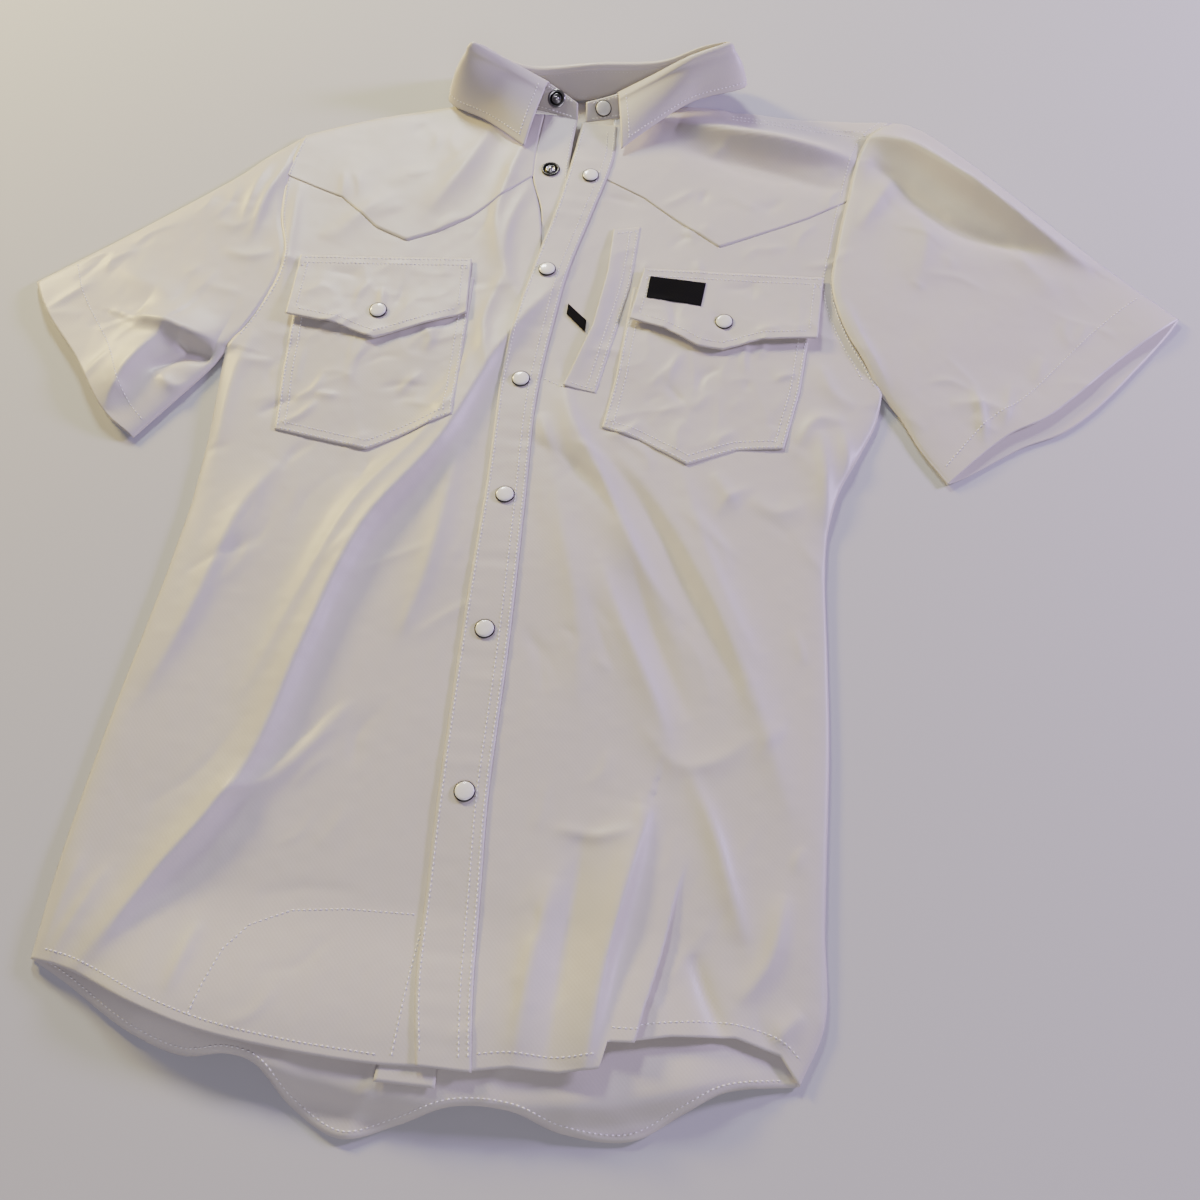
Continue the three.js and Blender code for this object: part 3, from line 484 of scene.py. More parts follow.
def cloth_grid(name, columns, rows, place, size, join=False, centre=None):
    """A grid moved onto the surface place(u, v), with a cloth's thickness under its outer face.

    The outer face looks up, or away from the centre where one is given.
    """
    bm = bmesh.new()
    bm.loops.layers.uv.new("cloth")
    bmesh.ops.create_grid(bm, x_segments=columns, y_segments=rows, size=0.5, calc_uvs=True)
    co = np.array([v.co[:2] for v in bm.verts]) + 0.5
    moved = place(co[:, 0], co[:, 1])
    uv = bm.loops.layers.uv.active
    for face in bm.faces:
        for loop in face.loops:
            loop[uv].uv = ((loop.vert.co.x + 0.5) * size[0] * MM, (loop.vert.co.y + 0.5) * size[1] * MM)
    for vert, point in zip(bm.verts, moved):
        vert.co = point
    if join:
        bmesh.ops.remove_doubles(bm, verts=bm.verts, dist=1e-6)
    bm.normal_update()
    outside = 0.0
    for face in bm.faces:
        away = face.calc_center_median() - Vector(centre) if centre is not None else Vector((0, 0, 1))
        outside += face.normal.dot(away.normalized()) * face.calc_area()
        face.smooth = True
    if outside < 0:
        bmesh.ops.reverse_faces(bm, faces=bm.faces)
    obj = mesh_object(name, bm)
    thickness = CUTS[name][4]
    solidify = obj.modifiers.new("Thickness", "SOLIDIFY")
    solidify.thickness = thickness * MM if thickness else bpy.context.scene.shirt_sizes.cloth
    solidify.offset = -1
    return obj


def sheet_piece(name, edges, height, replaced, material="shirting", pleated=0):
    """A flat-lying piece of cloth: edges in plan, height(x, y) of its upper face."""
    bottom, top, left, right = edges
    plan = coons(*edges)
    width = max(bottom.length, top.length)
    length = max(left.length, right.length)
    cell = CUTS[name][3]

    def place(u, v):
        x, y = plan(u, v)
        return on_shirt(x + pleat(x, y)[0] * pleated, y, height(x, y))
    obj = cloth_grid(name, max(2, round(width / cell)), max(2, round(length / cell)), place, (width, length))
    return finish_piece(obj, MATERIALS[material], material, [replaced], sheet=True)


def band_edge(rows, column):
    return [(row[column], row[0]) for row in rows]


def patch(outline):
    return tuple(Edge(outline[key], smooth=False) for key in ("bottom", "top", "left", "right"))


# Upper faces above the upper layer's underside, as the pieces lie over each other.
FRONT_TOP = SOLID
YOKE_TOP = 0.35       # over the fronts
UNDER_BAND_TOP = 0.3  # over the fronts
UNDER_BAND_SUNK = 1.3
BAND_TOP = 2.35
POCKET_TOP = 1.75
FLAP_TOP = 3.0
STRIP_TOP = 0.35      # over the fronts
STRIP_LIFT = 3.8      # how far the strip's open edge stands off
LABEL_TOP = 0.55      # over the flap
TAB_TOP = 2.05
FRONT_LAP = 4         # how far a front reaches under its band


def front_face(x, y):
    return upper_layer(x, y) + FRONT_TOP


# ---------------------------------------------------------------- materials
def node(tree, kind, **values):
    made = tree.nodes.new(kind)
    for key, value in values.items():
        setattr(made, key, value)
    return made


def weave_group():
    """Plain weave: threads over and under, with slubs; gives Height and Cloud."""
    group = bpy.data.node_groups.new("Plain weave", "ShaderNodeTree")
    group.interface.new_socket("Vector", in_out="INPUT", socket_type="NodeSocketVector")
    pitch = group.interface.new_socket("Threads per metre", in_out="INPUT", socket_type="NodeSocketFloat")
    pitch.default_value = 2600
    group.interface.new_socket("Height", in_out="OUTPUT", socket_type="NodeSocketFloat")
    group.interface.new_socket("Cloud", in_out="OUTPUT", socket_type="NodeSocketFloat")
    into = node(group, "NodeGroupInput")
    out = node(group, "NodeGroupOutput")
    scaled = node(group, "ShaderNodeVectorMath", operation="SCALE")
    group.links.new(into.outputs["Vector"], scaled.inputs[0])
    group.links.new(into.outputs["Threads per metre"], scaled.inputs["Scale"])
    parts = node(group, "ShaderNodeSeparateXYZ")
    group.links.new(scaled.outputs[0], parts.inputs[0])
    waves = []
    for axis in ("X", "Y"):
        wave = node(group, "ShaderNodeMath", operation="SINE")
        group.links.new(parts.outputs[axis], wave.inputs[0])
        waves.append(wave)
    product = node(group, "ShaderNodeMath", operation="MULTIPLY")
    group.links.new(waves[0].outputs[0], product.inputs[0])
    group.links.new(waves[1].outputs[0], product.inputs[1])
    slub = node(group, "ShaderNodeTexNoise")
    slub.inputs["Scale"].default_value = 420
    slub.inputs["Detail"].default_value = 3
    group.links.new(into.outputs["Vector"], slub.inputs["Vector"])
    height = node(group, "ShaderNodeMath", operation="ADD")
    group.links.new(product.outputs[0], height.inputs[0])
    group.links.new(slub.outputs["Fac"], height.inputs[1])
    group.links.new(height.outputs[0], out.inputs["Height"])
    cloud = node(group, "ShaderNodeTexNoise")
    cloud.inputs["Scale"].default_value = 14
    cloud.inputs["Detail"].default_value = 4
    group.links.new(into.outputs["Vector"], cloud.inputs["Vector"])
    group.links.new(cloud.outputs["Fac"], out.inputs["Cloud"])
    return group


def cloth_material(name, dark, light, roughness, sheen, weave, bump=0.12, specular=0.3):
    material = bpy.data.materials.new(name)
    material.use_nodes = True
    tree = material.node_tree
    shader = tree.nodes["Principled BSDF"]
    shader.inputs["Roughness"].default_value = roughness
    shader.inputs["Sheen Weight"].default_value = sheen
    shader.inputs["Sheen Roughness"].default_value = 0.4
    shader.inputs["Specular IOR Level"].default_value = specular
    coordinates = node(tree, "ShaderNodeTexCoord")
    threads = node(tree, "ShaderNodeGroup")
    threads.node_tree = weave
    tree.links.new(coordinates.outputs["Object"], threads.inputs["Vector"])
    mix = node(tree, "ShaderNodeMix", data_type="RGBA")
    mix.inputs["A"].default_value = (*dark, 1)
    mix.inputs["B"].default_value = (*light, 1)
    tree.links.new(threads.outputs["Cloud"], mix.inputs["Factor"])
    tree.links.new(mix.outputs["Result"], shader.inputs["Base Color"])
    relief = node(tree, "ShaderNodeBump")
    relief.inputs["Strength"].default_value = bump
    relief.inputs["Distance"].default_value = 0.00012
    tree.links.new(threads.outputs["Height"], relief.inputs["Height"])
    tree.links.new(relief.outputs["Normal"], shader.inputs["Normal"])
    return material


def hard_material(name, dark, light, roughness, metallic, coat, grain):
    material = bpy.data.materials.new(name)
    material.use_nodes = True
    tree = material.node_tree
    shader = tree.nodes["Principled BSDF"]
    shader.inputs["Metallic"].default_value = metallic
    shader.inputs["Roughness"].default_value = roughness
    shader.inputs["Coat Weight"].default_value = coat
    coordinates = node(tree, "ShaderNodeTexCoord")
    swirl = node(tree, "ShaderNodeTexNoise")
    swirl.inputs["Scale"].default_value = grain
    swirl.inputs["Detail"].default_value = 3
    swirl.inputs["Distortion"].default_value = 1.2
    tree.links.new(coordinates.outputs["Object"], swirl.inputs["Vector"])
    mix = node(tree, "ShaderNodeMix", data_type="RGBA")
    mix.inputs["A"].default_value = (*dark, 1)
    mix.inputs["B"].default_value = (*light, 1)
    tree.links.new(swirl.outputs["Fac"], mix.inputs["Factor"])
    tree.links.new(mix.outputs["Result"], shader.inputs["Base Color"])
    return material


MATERIALS = {}


def make_materials(look):
    weave = weave_group()
    shade = np.array(look.shirting)
    thread, pearl = tuple(look.thread), tuple(look.pearl)
    MATERIALS["shirting"] = cloth_material("Shirting", shade * 0.95, shade * 1.04, 0.42, 0.15, weave, bump=0.1)
    MATERIALS["thread"] = cloth_material("Stitching thread", (0.8, 0.78, 0.75), thread, 0.6, 0.1, weave)
    MATERIALS["label"] = cloth_material("Black tape", (0.003, 0.003, 0.004), (0.007, 0.007, 0.008), 0.9, 0.0, weave,
                                        bump=0.4, specular=0.06)
    MATERIALS["pearl"] = hard_material("Pearl", (0.74, 0.73, 0.66), pearl, 0.2, 0, 0.5, 160)
    # dark metal: the snap caps' own rims; in the sockets the same dark colour is painted shade, in each socket's
    # hollow and on the chest socket's ring
    MATERIALS["rim"] = hard_material("Dark metal and painted shade", (0.03, 0.03, 0.03), (0.09, 0.085, 0.08), 0.35, 0.9, 0, 300)
    MATERIALS["socket"] = hard_material("Nickel", (0.25, 0.25, 0.25), (0.5, 0.49, 0.48), 0.28, 1, 0, 300)


# ---------------------------------------------------------------- the body of the shirt
def back_face(x, y):
    loose = smooth01((-322 - y) / 16)
    waves = 0.9 * (1 + ripple(x, y, 26, 3.0)) + 1.2 * crumple(x, y, 34, 7.0)
    return tail_roll(x, y) + BACK_TOP + loose * waves


def yoke_face(x, y):
    return front_face(x, y) + YOKE_TOP


def under_face(x, y):
    hidden = smooth01((236 - y) / 20)
    return front_face(x, y) + UNDER_BAND_TOP - UNDER_BAND_SUNK * hidden


def band_face(x, y):
    return upper_layer(x, y) + BAND_TOP + 0.25 * ripple(x * 0.15, y, 6.5, 3.0)


def build_back():
    edges = (Edge(TAIL), Edge(NECK_BACK), Edge(SIDE_LEFT, ARMHOLE_LEFT, ARMHOLE_LEFT_YOKE),
             Edge(SIDE_RIGHT, ARMHOLE_RIGHT, ARMHOLE_RIGHT_YOKE))
    sheet_piece("back_panel", edges, back_face, "back")


def build_fronts():
    low = [(row[1] + FRONT_LAP, row[0]) for row in PLACKET if row[0] < 200]
    inner = Edge(low + [(-13, 232), (-24, 268)])
    edges = (Edge(HEM_LEFT[:-1] + [(-20, -346), (5, -345)]), Edge(YOKE_LEFT, smooth=False),
             Edge(SIDE_LEFT, ARMHOLE_LEFT), inner)
    sheet_piece("front_right_hand_panel", edges, front_face, "front_right_hand")
    inner = Edge([(row[2] - FRONT_LAP, row[0]) for row in PLACKET if row[0] < 260] + [(28, 272)])
    edges = (Edge(HEM_RIGHT, smooth=False), Edge(YOKE_RIGHT, smooth=False), inner, Edge(SIDE_RIGHT, ARMHOLE_RIGHT))
    sheet_piece("front_left_hand_panel", edges, front_face, "front_left_hand", pleated=1)


def build_yokes():
    inner = Edge(band_edge([row for row in UNDER_PLACKET if row[0] >= UNDER_TOP_FROM], 1))
    edges = (Edge(YOKE_LEFT, smooth=False), Edge(SHOULDER_LEFT), Edge(ARMHOLE_LEFT_YOKE), inner)
    sheet_piece("yoke_right_hand_panel", edges, yoke_face, "yoke_right_hand")
    inner = Edge([(28, 272), (29, 300), (30, 333)])
    edges = (Edge(YOKE_RIGHT, smooth=False), Edge(SHOULDER_RIGHT), inner, Edge(ARMHOLE_RIGHT_YOKE))
    sheet_piece("yoke_left_hand_panel", edges, yoke_face, "yoke_left_hand")


def build_bands():
    for name, rows, face, replaced in (("under_band", UNDER_PLACKET, under_face, "under_placket"),
                                       ("front_band", PLACKET, band_face, "placket")):
        left, right = Edge(band_edge(rows, 1)), Edge(band_edge(rows, 2))
        ends = [Edge([left.points[k], right.points[k]], smooth=False) for k in (0, -1)]
        sheet_piece(name, (*ends, left, right), face, replaced)


# ---------------------------------------------------------------- sleeves
def sleeve_surface(cut, root, peep=0.0):
    """The sleeve as a flattened tube: upper(across, along) and lower(across, along) in the frame."""
    plan = coons(root, Edge(cut["cuff"]), Edge(cut["top"]), Edge(cut["under"]))
    flat = 0.16           # share of its width over which each folded edge rolls down
    seam, tucked = 0.02, 2.6

    def upper(across, along):
        x, y = plan(across, along)
        inner_x, inner_y = plan(across, np.full(across.shape, 0.03))
        rim = quarter_round(np.minimum(across, 1 - across) / flat)
        loft = cut["loft"] + (cut["cuff_loft"] - cut["loft"]) * smooth01(along) + fold_height(x, y)
        loft += 0.9 * ripple(x, y, 50, 2.0) + 0.3 * ripple(x, y, 19, 6.0) + 0.1 * ripple(x, y, 6, 7.0)
        z = SLEEVE_EDGE + rim * np.maximum(loft, 0.5)
        # the seam: the sleeve's end is tucked under the body's edge
        tuck = 1 - np.clip(along / seam, 0, 1)
        run = np.hypot(x - inner_x, y - inner_y) + 1e-6
        x = x + tuck * tucked * (x - inner_x) / run
        y = y + tuck * tucked * (y - inner_y) / run
        return x, y, z - 1.3 * tuck * rim

    def lower(across, along):
        x, y = plan(across, along)
        back_x, back_y = plan(across, np.full(along.shape, 0.94))
        rim = quarter_round(np.minimum(across, 1 - across) / flat)
        shown = peep * smooth01((along - 0.8) / 0.2) * np.sin(math.pi * np.clip(across, 0, 1)) ** 0.8
        run = np.hypot(x - back_x, y - back_y) + 1e-6
        return x + shown * (x - back_x) / run, y + shown * (y - back_y) / run, SLEEVE_EDGE * (1 - rim) + SLEEVE_LOW
    return upper, lower


SLEEVE_ROOT_LEFT = (list(reversed(ARMHOLE_LEFT_YOKE)), list(reversed(ARMHOLE_LEFT)))
SLEEVE_ROOT_RIGHT = (list(reversed(ARMHOLE_RIGHT_YOKE)), list(reversed(ARMHOLE_RIGHT)))


def build_sleeve(name, cut, root, flip, peep, replaced):
    upper, lower = sleeve_surface(cut, root, peep)

    def place(u, v):
        around = u if flip else 1 - u
        across = np.abs(1 - 2 * around)
        over = around < 0.5
        x, y, z = (np.where(over, a, b) for a, b in zip(upper(across, v), lower(across, v)))
        return on_shirt(x, y, z)
    width = 2 * root.length
    length = max(Edge(cut["top"]).length, Edge(cut["under"]).length)
    centre = place(np.array([0.25, 0.75]), np.array([0.5, 0.5])).mean(0)
    cell = CUTS[name][3]
    obj = cloth_grid(name, round(width / cell / 2) * 2, round(length / cell), place, (width, length), join=True,
                     centre=centre)
    return finish_piece(obj, MATERIALS["shirting"], "shirting", [replaced], sheet=True)


def build_sleeves():
    build_sleeve("sleeve_right_hand_tube", SLEEVE_LEFT, Edge(*SLEEVE_ROOT_LEFT), False, 0.0, "sleeve_right_hand")
    build_sleeve("sleeve_left_hand_tube", SLEEVE_RIGHT, Edge(*SLEEVE_ROOT_RIGHT), True, 15.0, "sleeve_left_hand")


# ---------------------------------------------------------------- collar
def outward(foot, edge):
    direction = (np.array(edge, float) - np.array(foot, float)) * (1, 1, 0)
    return direction / np.linalg.norm(direction)


def ring_surface(lines):
    """Rows of lines round the neck, read at u along and v up."""
    curves = [Edge(line) for line in lines]
    heights = np.linspace(0, 1, len(curves))

    def place(u, v):
        stack = np.stack([curve.at(u) for curve in curves])
        low = np.clip((v * (len(curves) - 1)).astype(int), 0, len(curves) - 2)
        part = (v - heights[low]) * (len(curves) - 1)
        index = np.arange(len(u))
        point = stack[low, index] * (1 - part)[:, None] + stack[low + 1, index] * part[:, None]
        return on_shirt(point[:, 0], point[:, 1], point[:, 2])
    return place


def stand_lines(count=5):
    feet = [np.array(row[0], float) for row in COLLAR]
    heads = [np.array(row[1], float) - (0, 0, STAND_DROP) for row in COLLAR]
    return [[a + (b - a) * t for a, b in zip(feet, heads)] for t in np.linspace(0, 1, count)]


def leaf_lines(count=17):
    rows = [row for row in COLLAR if row[2]]
    lines = []
    for t in np.linspace(1, 0, count):
        line = []
        for foot, roll, edge in rows:
            out = outward(foot, edge)
            start = np.array(roll, float) + out * LEAF_OUT
            point = start + (np.array(edge, float) - start) * t
            belly = LEAF_BELLY * math.sin(math.pi * t) + 1.2 * math.sin(math.pi * min(1, t * 5)) * (t < 0.2)
            line.append(point + out * belly + (0, 0, belly))
        lines.append(line)
    turn = []
    for foot, roll, edge in rows:
        out = outward(foot, edge)
        turn.append(np.array(roll, float) - out * 0.9 + (0, 0, -2.4))
    lines.append(turn)
    return lines


def build_collar():
    neck = on_shirt(10, 340, 20)
    for name, lines, columns, rows, replaced in (("collar_stand_band", stand_lines(), 230, 14, "collar_stand"),
                                                 ("collar_leaf_fold", leaf_lines(), 260, 44, "collar_leaf")):
        obj = cloth_grid(name, columns, rows, ring_surface(lines), CUTS[name][:2], centre=neck)
        finish_piece(obj, MATERIALS["shirting"], "shirting", [replaced], sheet=True)


# ---------------------------------------------------------------- pockets, flaps and trim
def pocket_face(x, y):
    return upper_layer(x, y) + POCKET_TOP + 0.5 * ripple(x, y, 30, 8.0) + 0.4 * crumple(x, y, 36, 9.0)


def flap_surface(flap, snap):
    """A flap's face: flat where it is sewn on and at its snap, lifted along the rest of its free edge."""
    low, high = min(p[1] for p in flap["bottom"]), max(p[1] for p in flap["top"])

    def face(x, y):
        free = smooth01((high - y) / (high - low)) ** 1.5
        held = 1 - np.exp(-(((x - snap[0]) / 26) ** 2))
        lift = FLAP_RISE * free * (0.35 + 0.65 * held * (0.75 + 0.25 * ripple(x, y, 30, 12.0)))
        return upper_layer(x, y, False) + FLAP_TOP + lift + 0.3 * crumple(x, y, 24, 4.0) + 0.16 * ripple(x, y, 7, 4.0)
    return face


POCKETS = [("right_hand", POCKET_LEFT, FLAP_LEFT, flap_surface(FLAP_LEFT, FLAP_SNAPS[0])),
           ("left_hand", POCKET_RIGHT, FLAP_RIGHT, flap_surface(FLAP_RIGHT, FLAP_SNAPS[1]))]


def build_pockets():
    for side, pocket, flap, flap_face in POCKETS:
        sheet_piece(f"pocket_{side}_patch", patch(pocket), pocket_face, f"pocket_{side}")
        sheet_piece(f"flap_{side}_patch", patch(flap), flap_face, f"flap_{side}")


def strip_face(x, y):
    # the strip's wearer's-right edge stands open over the slot
    open_edge = np.interp(y, [82, 133, 183, 224], [22, 36, 41, 41])
    lift = STRIP_LIFT * np.exp(-((x - open_edge) / 9) ** 2) * np.sin(math.pi * np.clip((y - 78) / 150, 0, 1)) ** 0.6
    return front_face(x, y) + STRIP_TOP + lift


def tab_face(x, y):
    return upper_layer(x, y) + TAB_TOP


def label_face(x, y):
    return POCKETS[1][3](x, y) + LABEL_TOP


def build_trim():
    sheet_piece("pen_slot_strip", patch(STRIP), strip_face, "zip_strip")
    sheet_piece("slot_tab", patch(TAB), tab_face, "zip_tab", "label")
    sheet_piece("black_label", patch(LABEL), label_face, "label", "label")


# ---------------------------------------------------------------- snaps
def spun(name, profile, at, normal, metal, replaced=(), steps=40):
    """A turned piece: its profile spun round its own axis, then set on the cloth."""
    bm = bmesh.new()
    verts = [bm.verts.new((radius * MM, 0, z * MM)) for radius, z in profile]
    edges = [bm.edges.new(pair) for pair in zip(verts, verts[1:])]
    bmesh.ops.spin(bm, geom=verts + edges, cent=(0, 0, 0), axis=(0, 0, 1), angle=2 * math.pi, steps=steps,
                   use_merge=True)
    bmesh.ops.remove_doubles(bm, verts=bm.verts, dist=1e-7)
    bmesh.ops.recalc_face_normals(bm, faces=bm.faces)
    turn = Vector((0, 0, 1)).rotation_difference(Vector(normal)).to_matrix().to_4x4()
    bmesh.ops.transform(bm, matrix=Matrix.Translation(Vector(at)) @ turn, verts=bm.verts)
    for face in bm.faces:
        face.smooth = True
    return finish_piece(mesh_object(name, bm), MATERIALS[metal], metal, replaced)


# Radius and height of each profile, from the cloth up.
RIM_PROFILE = [(0, 0), (5.4, 0), (6.0, 0.15), (6.2, 0.6), (6.1, 1.1), (5.8, 1.35), (5.4, 1.3), (5.3, 1.0), (0, 1.0)]
PEARL_PROFILE = [(0, 1.02), (5.45, 1.02), (5.5, 1.25), (5.2, 1.6), (4.2, 1.85), (2.4, 2.05), (0, 2.1)]
RING_PROFILE = [(5.0, 0), (6.6, 0.1), (6.9, 0.6), (6.5, 1.1), (5.7, 1.25), (5.0, 0.9)]
DISH_PROFILE = [(0, 0.1), (5.2, 0.1), (5.1, 0.4), (0, 0.4)]
STUD_PROFILE = [(3.6, 0.3), (3.5, 1.0), (3.1, 1.25), (2.7, 1.0), (2.6, 0.5), (1.7, 0.5), (1.6, 1.6), (1.1, 2.0),
                (0, 2.05)]


def surface_point(height, x, y, step=4.0):
    """A point on a height function and its normal."""
    xs = np.array([x, x + step, x - step, x, x], float)
    ys = np.array([y, y, y, y + step, y - step], float)
    z = height(xs, ys)
    normal = Vector(((z[2] - z[1]) / (2 * step), (z[4] - z[3]) / (2 * step), 1)).normalized()
    return on_shirt(xs[:1], ys[:1], z[:1])[0], normal


def stand_point(at, up):
    place = ring_surface(stand_lines())
    step = 0.01
    points = [Vector(place(np.array([a]), np.array([b]))[0]) for a, b in
              ((at, up), (at + step, up), (at - step, up), (at, up + 0.1), (at, up - 0.1))]
    normal = (points[1] - points[2]).cross(points[3] - points[4]).normalized()
    if normal.z < 0:
        normal.negate()
    return points[0] + normal * 0.0006, normal


def build_snap(name, at, normal):
    spun(f"{name}_cap_rim", RIM_PROFILE, at, normal, "rim", [f"{name}_rim"])
    spun(f"{name}_cap_pearl", PEARL_PROFILE, at, normal, "pearl", [f"{name}_pearl"])


def build_snaps():
    for index, (x, y) in enumerate(FRONT_SNAPS):
        build_snap(f"snap_{index + 2}", *surface_point(band_face, x, y))
    for index, (x, y) in enumerate(FLAP_SNAPS):
        at, normal = surface_point(POCKETS[index][3], x, y)
        build_snap(f"flap_snap_{index + 1}", at, normal)
    build_snap("snap_1", *stand_point(*COLLAR_SNAP))
    # the chest socket's ring takes the dark metal where the collar socket's like ring takes nickel: its darkness is
    # painted shade
    for name, metal, place in (("chest_socket", "rim", surface_point(under_face, *CHEST_SOCKET)),
                               ("collar_socket", "socket", stand_point(*COLLAR_SOCKET))):
        spun(f"{name}_ring", RING_PROFILE, *place, metal, [name])
        # each socket's dish is painted dark, as painted shade in the socket's hollow
        spun(f"{name}_dish", DISH_PROFILE, *place, "rim")
        spun(f"{name}_stud", STUD_PROFILE, *place, "socket")


# ---------------------------------------------------------------- stitching
BAR_LENGTH = 7


def beside_edge(edge, distance, start=0.0, end=1.0):
    """A line in plan at a distance to the left of an edge."""
    t = np.linspace(start, end, max(8, int(edge.length * (end - start) / 2.5)))
    ahead, behind = edge.at(np.clip(t + 0.008, 0, 1)), edge.at(np.clip(t - 0.008, 0, 1))
    run = ahead - behind
    run /= np.linalg.norm(run, axis=1)[:, None]
    points = edge.at(t)
    return np.stack([points[:, 0] - run[:, 1] * distance, points[:, 1] + run[:, 0] * distance], -1)


def sewn(points, face, pleated=0):
    """A line of stitches through plan points on a face."""
    points = np.asarray(points, float)
    line = Edge(points, smooth=False)
    points = line.at(np.linspace(0, 1, max(2, int(line.length / 1.2))))
    x, y = points[:, 0], points[:, 1]
    return on_shirt(x + pleat(x, y)[0] * pleated, y, face(x, y))


def bar(at, along, face):
    """A short bar of close stitches."""
    middle, half = np.array(at, float), np.array(along, float)
    half *= BAR_LENGTH / 2 / np.linalg.norm(half)
    return [sewn([middle - half + (0, up), middle + half + (0, up)], face) for up in (-0.5, 0.5)]


def stitch_rows(name, lines):
    """Stitches set end to end along lines in the frame."""
    sizes = bpy.context.scene.shirt_sizes
    bm = bmesh.new()
    for line in lines:
        edge = Edge(line, smooth=False)
        count = max(2, int(edge.length / sizes.stitch_pitch))
        share = (np.arange(count) + 0.5) / count
        half = sizes.stitch_length / 2 / edge.length
        middle, head, tail = edge.at(share), edge.at(np.minimum(1, share + half)), edge.at(np.maximum(0, share - half))
        for k in range(count):
            along = Vector(head[k] - tail[k]).normalized()
            side = Vector((0, 0, 1)).cross(along).normalized()
            basis = Matrix((along * sizes.stitch_length / 2, side * sizes.stitch_width / 2,
                            along.cross(side) * sizes.stitch_height)).transposed()
            bmesh.ops.create_icosphere(bm, subdivisions=1, radius=1,
                                       matrix=Matrix.Translation(Vector(middle[k])) @ basis.to_4x4())
    for face in bm.faces:
        face.smooth = True
    return finish_piece(mesh_object(name, bm), MATERIALS["thread"], "shirting")


def build_stitching():
    left, right = Edge(band_edge(PLACKET, 1)), Edge(band_edge(PLACKET, 2))
    stitch_rows("front_band_stitching", [
        sewn(beside_edge(left, -2.0, 0.01, 0.99), band_face),
        sewn(beside_edge(right, 1.8, 0.01, 0.99), band_face),
        sewn(beside_edge(right, 6.6, 0.01, 0.99), band_face),
        sewn(beside_edge(Edge(band_edge(UNDER_PLACKET, 2)), 2.0, 0.86, 0.99), under_face),
        sewn([(-9, -265), (-11, -302), (-12, -340)], front_face),
    ])
    hem = 6.5
    stitch_rows("hem_stitching", [
        sewn(beside_edge(Edge(HEM_LEFT), hem, 0.03), front_face),
        sewn(beside_edge(Edge(HEM_RIGHT[:4]), hem, 0.12), front_face, 1),
        sewn(beside_edge(Edge(HEM_RIGHT[4:]), hem, 0.02, 0.9), front_face, 1),
        sewn(beside_edge(Edge(TAIL), 3.5, 0.02, 0.98), back_face),
        sewn([(-118, -332), (-115, -316), (-110, -297), (-100, -283), (-80, -273), (-50, -269), (-14, -268)],
             front_face),
    ])
    rows = []
    for _, pocket, flap, flap_face in POCKETS:
        for distance in (1.8, 6.6):
            rows += [
                sewn(beside_edge(Edge(pocket["bottom"], smooth=False), distance, 0.02, 0.98), pocket_face),
                sewn(beside_edge(Edge(pocket["left"], smooth=False), -distance, 0.02, 0.78), pocket_face),
                sewn(beside_edge(Edge(pocket["right"], smooth=False), distance, 0.02, 0.78), pocket_face),
                sewn(beside_edge(Edge(flap["top"], smooth=False), -distance, 0.02, 0.98), flap_face),
            ]
        rows += [
            sewn(beside_edge(Edge(flap["bottom"], smooth=False), 6.0, 0.05, 0.95), flap_face),
            sewn(beside_edge(Edge(flap["left"], smooth=False), -6.0, 0.12, 0.9), flap_face),
            sewn(beside_edge(Edge(flap["right"], smooth=False), 6.0, 0.12, 0.9), flap_face),
        ]
        for corner, way in ((flap["top"][0], 1), (flap["top"][1], -1)):
            rows += bar((corner[0] + way * 4.5, corner[1] - 9), (1, 0.05), flap_face)
    stitch_rows("pocket_stitching", rows)
    outer = Edge(STRIP["right"])
    stitch_rows("slot_stitching", [
        sewn(beside_edge(outer, 2.0, 0.03, 0.97), strip_face),
        sewn(beside_edge(outer, 7.0, 0.03, 0.97), strip_face),
        sewn([(26, 85), (42, 82)], strip_face),
        sewn([(43, 220), (58, 224)], strip_face),
        sewn([(8, 88), (22, 81)], front_face),
    ])
    stitch_rows("seam_stitching", [
        sewn(beside_edge(Edge(ARMHOLE_RIGHT), 2.2, 0.04, 0.98), front_face),
        sewn(beside_edge(Edge(ARMHOLE_RIGHT), 7.6, 0.08, 0.98), front_face),
        sewn(beside_edge(Edge(ARMHOLE_RIGHT_YOKE), 2.2, 0.02, 0.96), yoke_face),
        sewn(beside_edge(Edge(ARMHOLE_RIGHT_YOKE), 7.6, 0.02, 0.92), yoke_face),
        sewn(beside_edge(Edge(ARMHOLE_LEFT), -2.2, 0.1, 0.98), front_face),
        sewn(beside_edge(Edge(ARMHOLE_LEFT_YOKE), -2.2, 0.02, 0.9), yoke_face),
        sewn([(118, 344), (157, 341), (196, 338), (226, 338)], yoke_face),
        sewn([(118, 339.5), (157, 336.5), (196, 333.5), (222, 333)], yoke_face),
    ])
    rows = []
    for cut, root, up in ((SLEEVE_LEFT, SLEEVE_ROOT_LEFT, 0.86), (SLEEVE_RIGHT, SLEEVE_ROOT_RIGHT, 0.885)):
        upper, _ = sleeve_surface(cut, Edge(*root))
        across = np.linspace(0.03, 0.97, 160)
        rows.append(on_shirt(*upper(across, np.full(across.shape, up))))
    stitch_rows("cuff_stitching", rows)
    rows = []
    place = ring_surface(leaf_lines())
    for part in ((0.012, 0.27), (0.73, 0.988)):
        along = np.linspace(*part, 120)
        rows.append(place(along, np.full(along.shape, 0.10)))
    for along in (0.016, 0.984):
        rows.append(place(np.full(30, along), np.linspace(0.1, 0.86, 30)))
    place = ring_surface(stand_lines())
    for up in (0.12, 0.88):
        along = np.linspace(0.012, 0.988, 260)
        rows.append(place(along, np.full(along.shape, up)) + np.array([0, -0.4, 0.4]) * MM)
    stitch_rows("collar_stitching", rows)


